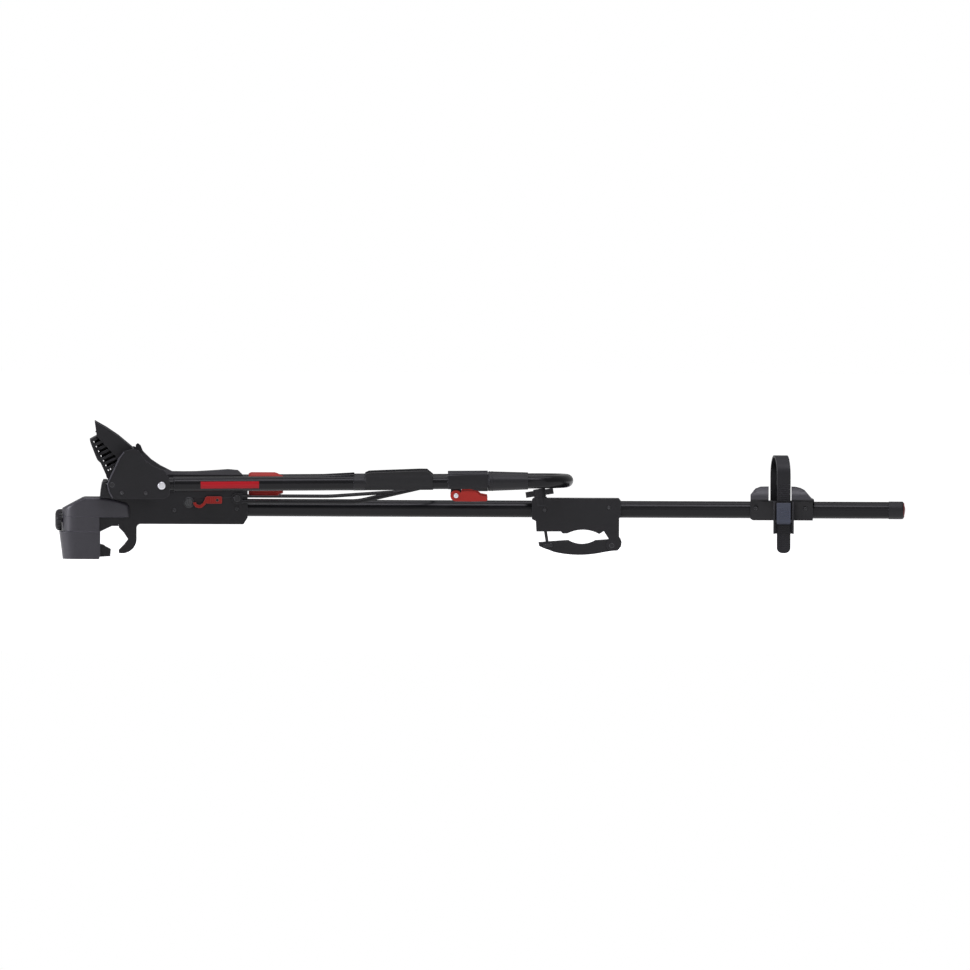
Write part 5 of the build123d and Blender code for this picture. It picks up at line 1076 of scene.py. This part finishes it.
# Studio: pale floor that is white to the camera, soft lamps, white world
studio = {
    "floorColour": 0.75, "floorGlow": 0.93, "floorRoughness": 0.9, "floorHalf": 12.0, "floorGap": 0.0005,
    "worldLight": 0.11, "worldGlossy": 0.45, "lampColour": (0.93, 0.91, 1.0),
}
lamps = {
    "keyLamp": {"place": (0.45, -1.2, 2.2), "target": (0.62, 0.0, 0.05),
                "size": (2.4, 1.0), "power": 40.0},
    "topLamp": {"place": (0.8, 0.4, 2.4), "target": (0.62, 0.0, 0.05),
                "size": (2.6, 0.8), "power": 14.0},
    "fillLamp": {"place": (1.6, -2.4, 0.7), "target": (0.62, 0.0, 0.05),
                 "size": (1.6, 1.2), "power": 7.0},
    "sideLamp": {"place": (-2.4, -0.55, 0.6), "target": (0.0, 0.0, 0.03),
                 "size": (0.8, 0.6), "power": 42.0},
}


def floorMaterial():
    material = bpy.data.materials.new("paleFloor")
    material.use_nodes = True
    tree = material.node_tree
    surface = tree.nodes["Principled BSDF"]
    surface.inputs["Base Color"].default_value = (studio["floorColour"],) * 3 + (1.0,)
    surface.inputs["Roughness"].default_value = studio["floorRoughness"]
    glow = tree.nodes.new("ShaderNodeEmission")
    path = tree.nodes.new("ShaderNodeLightPath")
    seen = mathNode(tree, "MAXIMUM", path.outputs["Is Camera Ray"], path.outputs["Is Glossy Ray"])
    strength = mathNode(tree, "MULTIPLY", seen, studio["floorGlow"])
    tree.links.new(strength, glow.inputs["Strength"])
    both = tree.nodes.new("ShaderNodeAddShader")
    tree.links.new(surface.outputs[0], both.inputs[0])
    tree.links.new(glow.outputs[0], both.inputs[1])
    tree.links.new(both.outputs[0], tree.nodes["Material Output"].inputs["Surface"])
    return material


def makeFloor():
    mesh = bpy.data.meshes.new("studio_floor")
    half = studio["floorHalf"]
    middle = (cadLow + cadHigh) / 2
    corners = [(middle.x + sx * half, middle.y + sy * half, cadLow.z - studio["floorGap"])
               for sx, sy in ((-1, -1), (1, -1), (1, 1), (-1, 1))]
    mesh.from_pydata(corners, [], [(0, 1, 2, 3)])
    mesh.materials.append(floorMaterial())
    floor = bpy.data.objects.new("studio_floor", mesh)
    bpy.context.scene.collection.objects.link(floor)


def makeLamp(name, rule):
    data = bpy.data.lights.new(name, "AREA")
    data.shape = "RECTANGLE"
    data.size, data.size_y = rule["size"]
    data.energy = rule["power"]
    data.color = studio["lampColour"]
    lamp = bpy.data.objects.new(name, data)
    lamp.location = rule["place"]
    lamp.rotation_mode = "QUATERNION"
    lamp.rotation_quaternion = (Vector(rule["target"]) - Vector(rule["place"])).to_track_quat("-Z", "Y")
    bpy.context.scene.collection.objects.link(lamp)


def makeWorld():
    world = bpy.data.worlds.new("studioWorld")
    world.use_nodes = True
    tree = world.node_tree
    background = tree.nodes["Background"]
    background.inputs["Color"].default_value = (1.0, 1.0, 1.0, 1.0)
    path = tree.nodes.new("ShaderNodeLightPath")
    seen = mathNode(tree, "MAXIMUM", path.outputs["Is Camera Ray"], path.outputs["Is Transmission Ray"])
    glossy = mathNode(tree, "MULTIPLY", path.outputs["Is Glossy Ray"], studio["worldGlossy"])
    bright = mathNode(tree, "MAXIMUM", seen, glossy)
    strength = mathNode(tree, "MAXIMUM", bright, studio["worldLight"])
    tree.links.new(strength, background.inputs["Strength"])
    bpy.context.scene.world = world


makeFloor()
makeWorld()
for lampName, lampRule in lamps.items():
    makeLamp(lampName, lampRule)

# Camera: square to the beam's left side, a little above it, rolled so the beam droops
cameraSetup = {"azimuth": 0.0, "elevation": 1.5, "roll": 0.228, "scale": 1.6296,
               "target": (0.6216, 0.0, 0.0706), "distance": 6.0, "clipEnd": 50.0}


def makeCamera():
    data = bpy.data.cameras.new("photoCamera")
    data.type = "ORTHO"
    data.ortho_scale = cameraSetup["scale"]
    camera = bpy.data.objects.new("photoCamera", data)
    bpy.context.scene.collection.objects.link(camera)
    a, e = math.radians(cameraSetup["azimuth"]), math.radians(cameraSetup["elevation"])
    back = Vector((math.sin(a) * math.cos(e), -math.cos(a) * math.cos(e), math.sin(e)))
    camera.location = Vector(cameraSetup["target"]) + back * cameraSetup["distance"]
    camera.rotation_mode = "QUATERNION"
    roll = Matrix.Rotation(math.radians(cameraSetup["roll"]), 4, "Z").to_quaternion()
    camera.rotation_quaternion = (-back).to_track_quat("-Z", "Y") @ roll
    data.clip_end = cameraSetup["clipEnd"]
    bpy.context.scene.camera = camera


makeCamera()
bpy.context.scene.view_settings.view_transform = "Standard"
print("studio and camera ready")
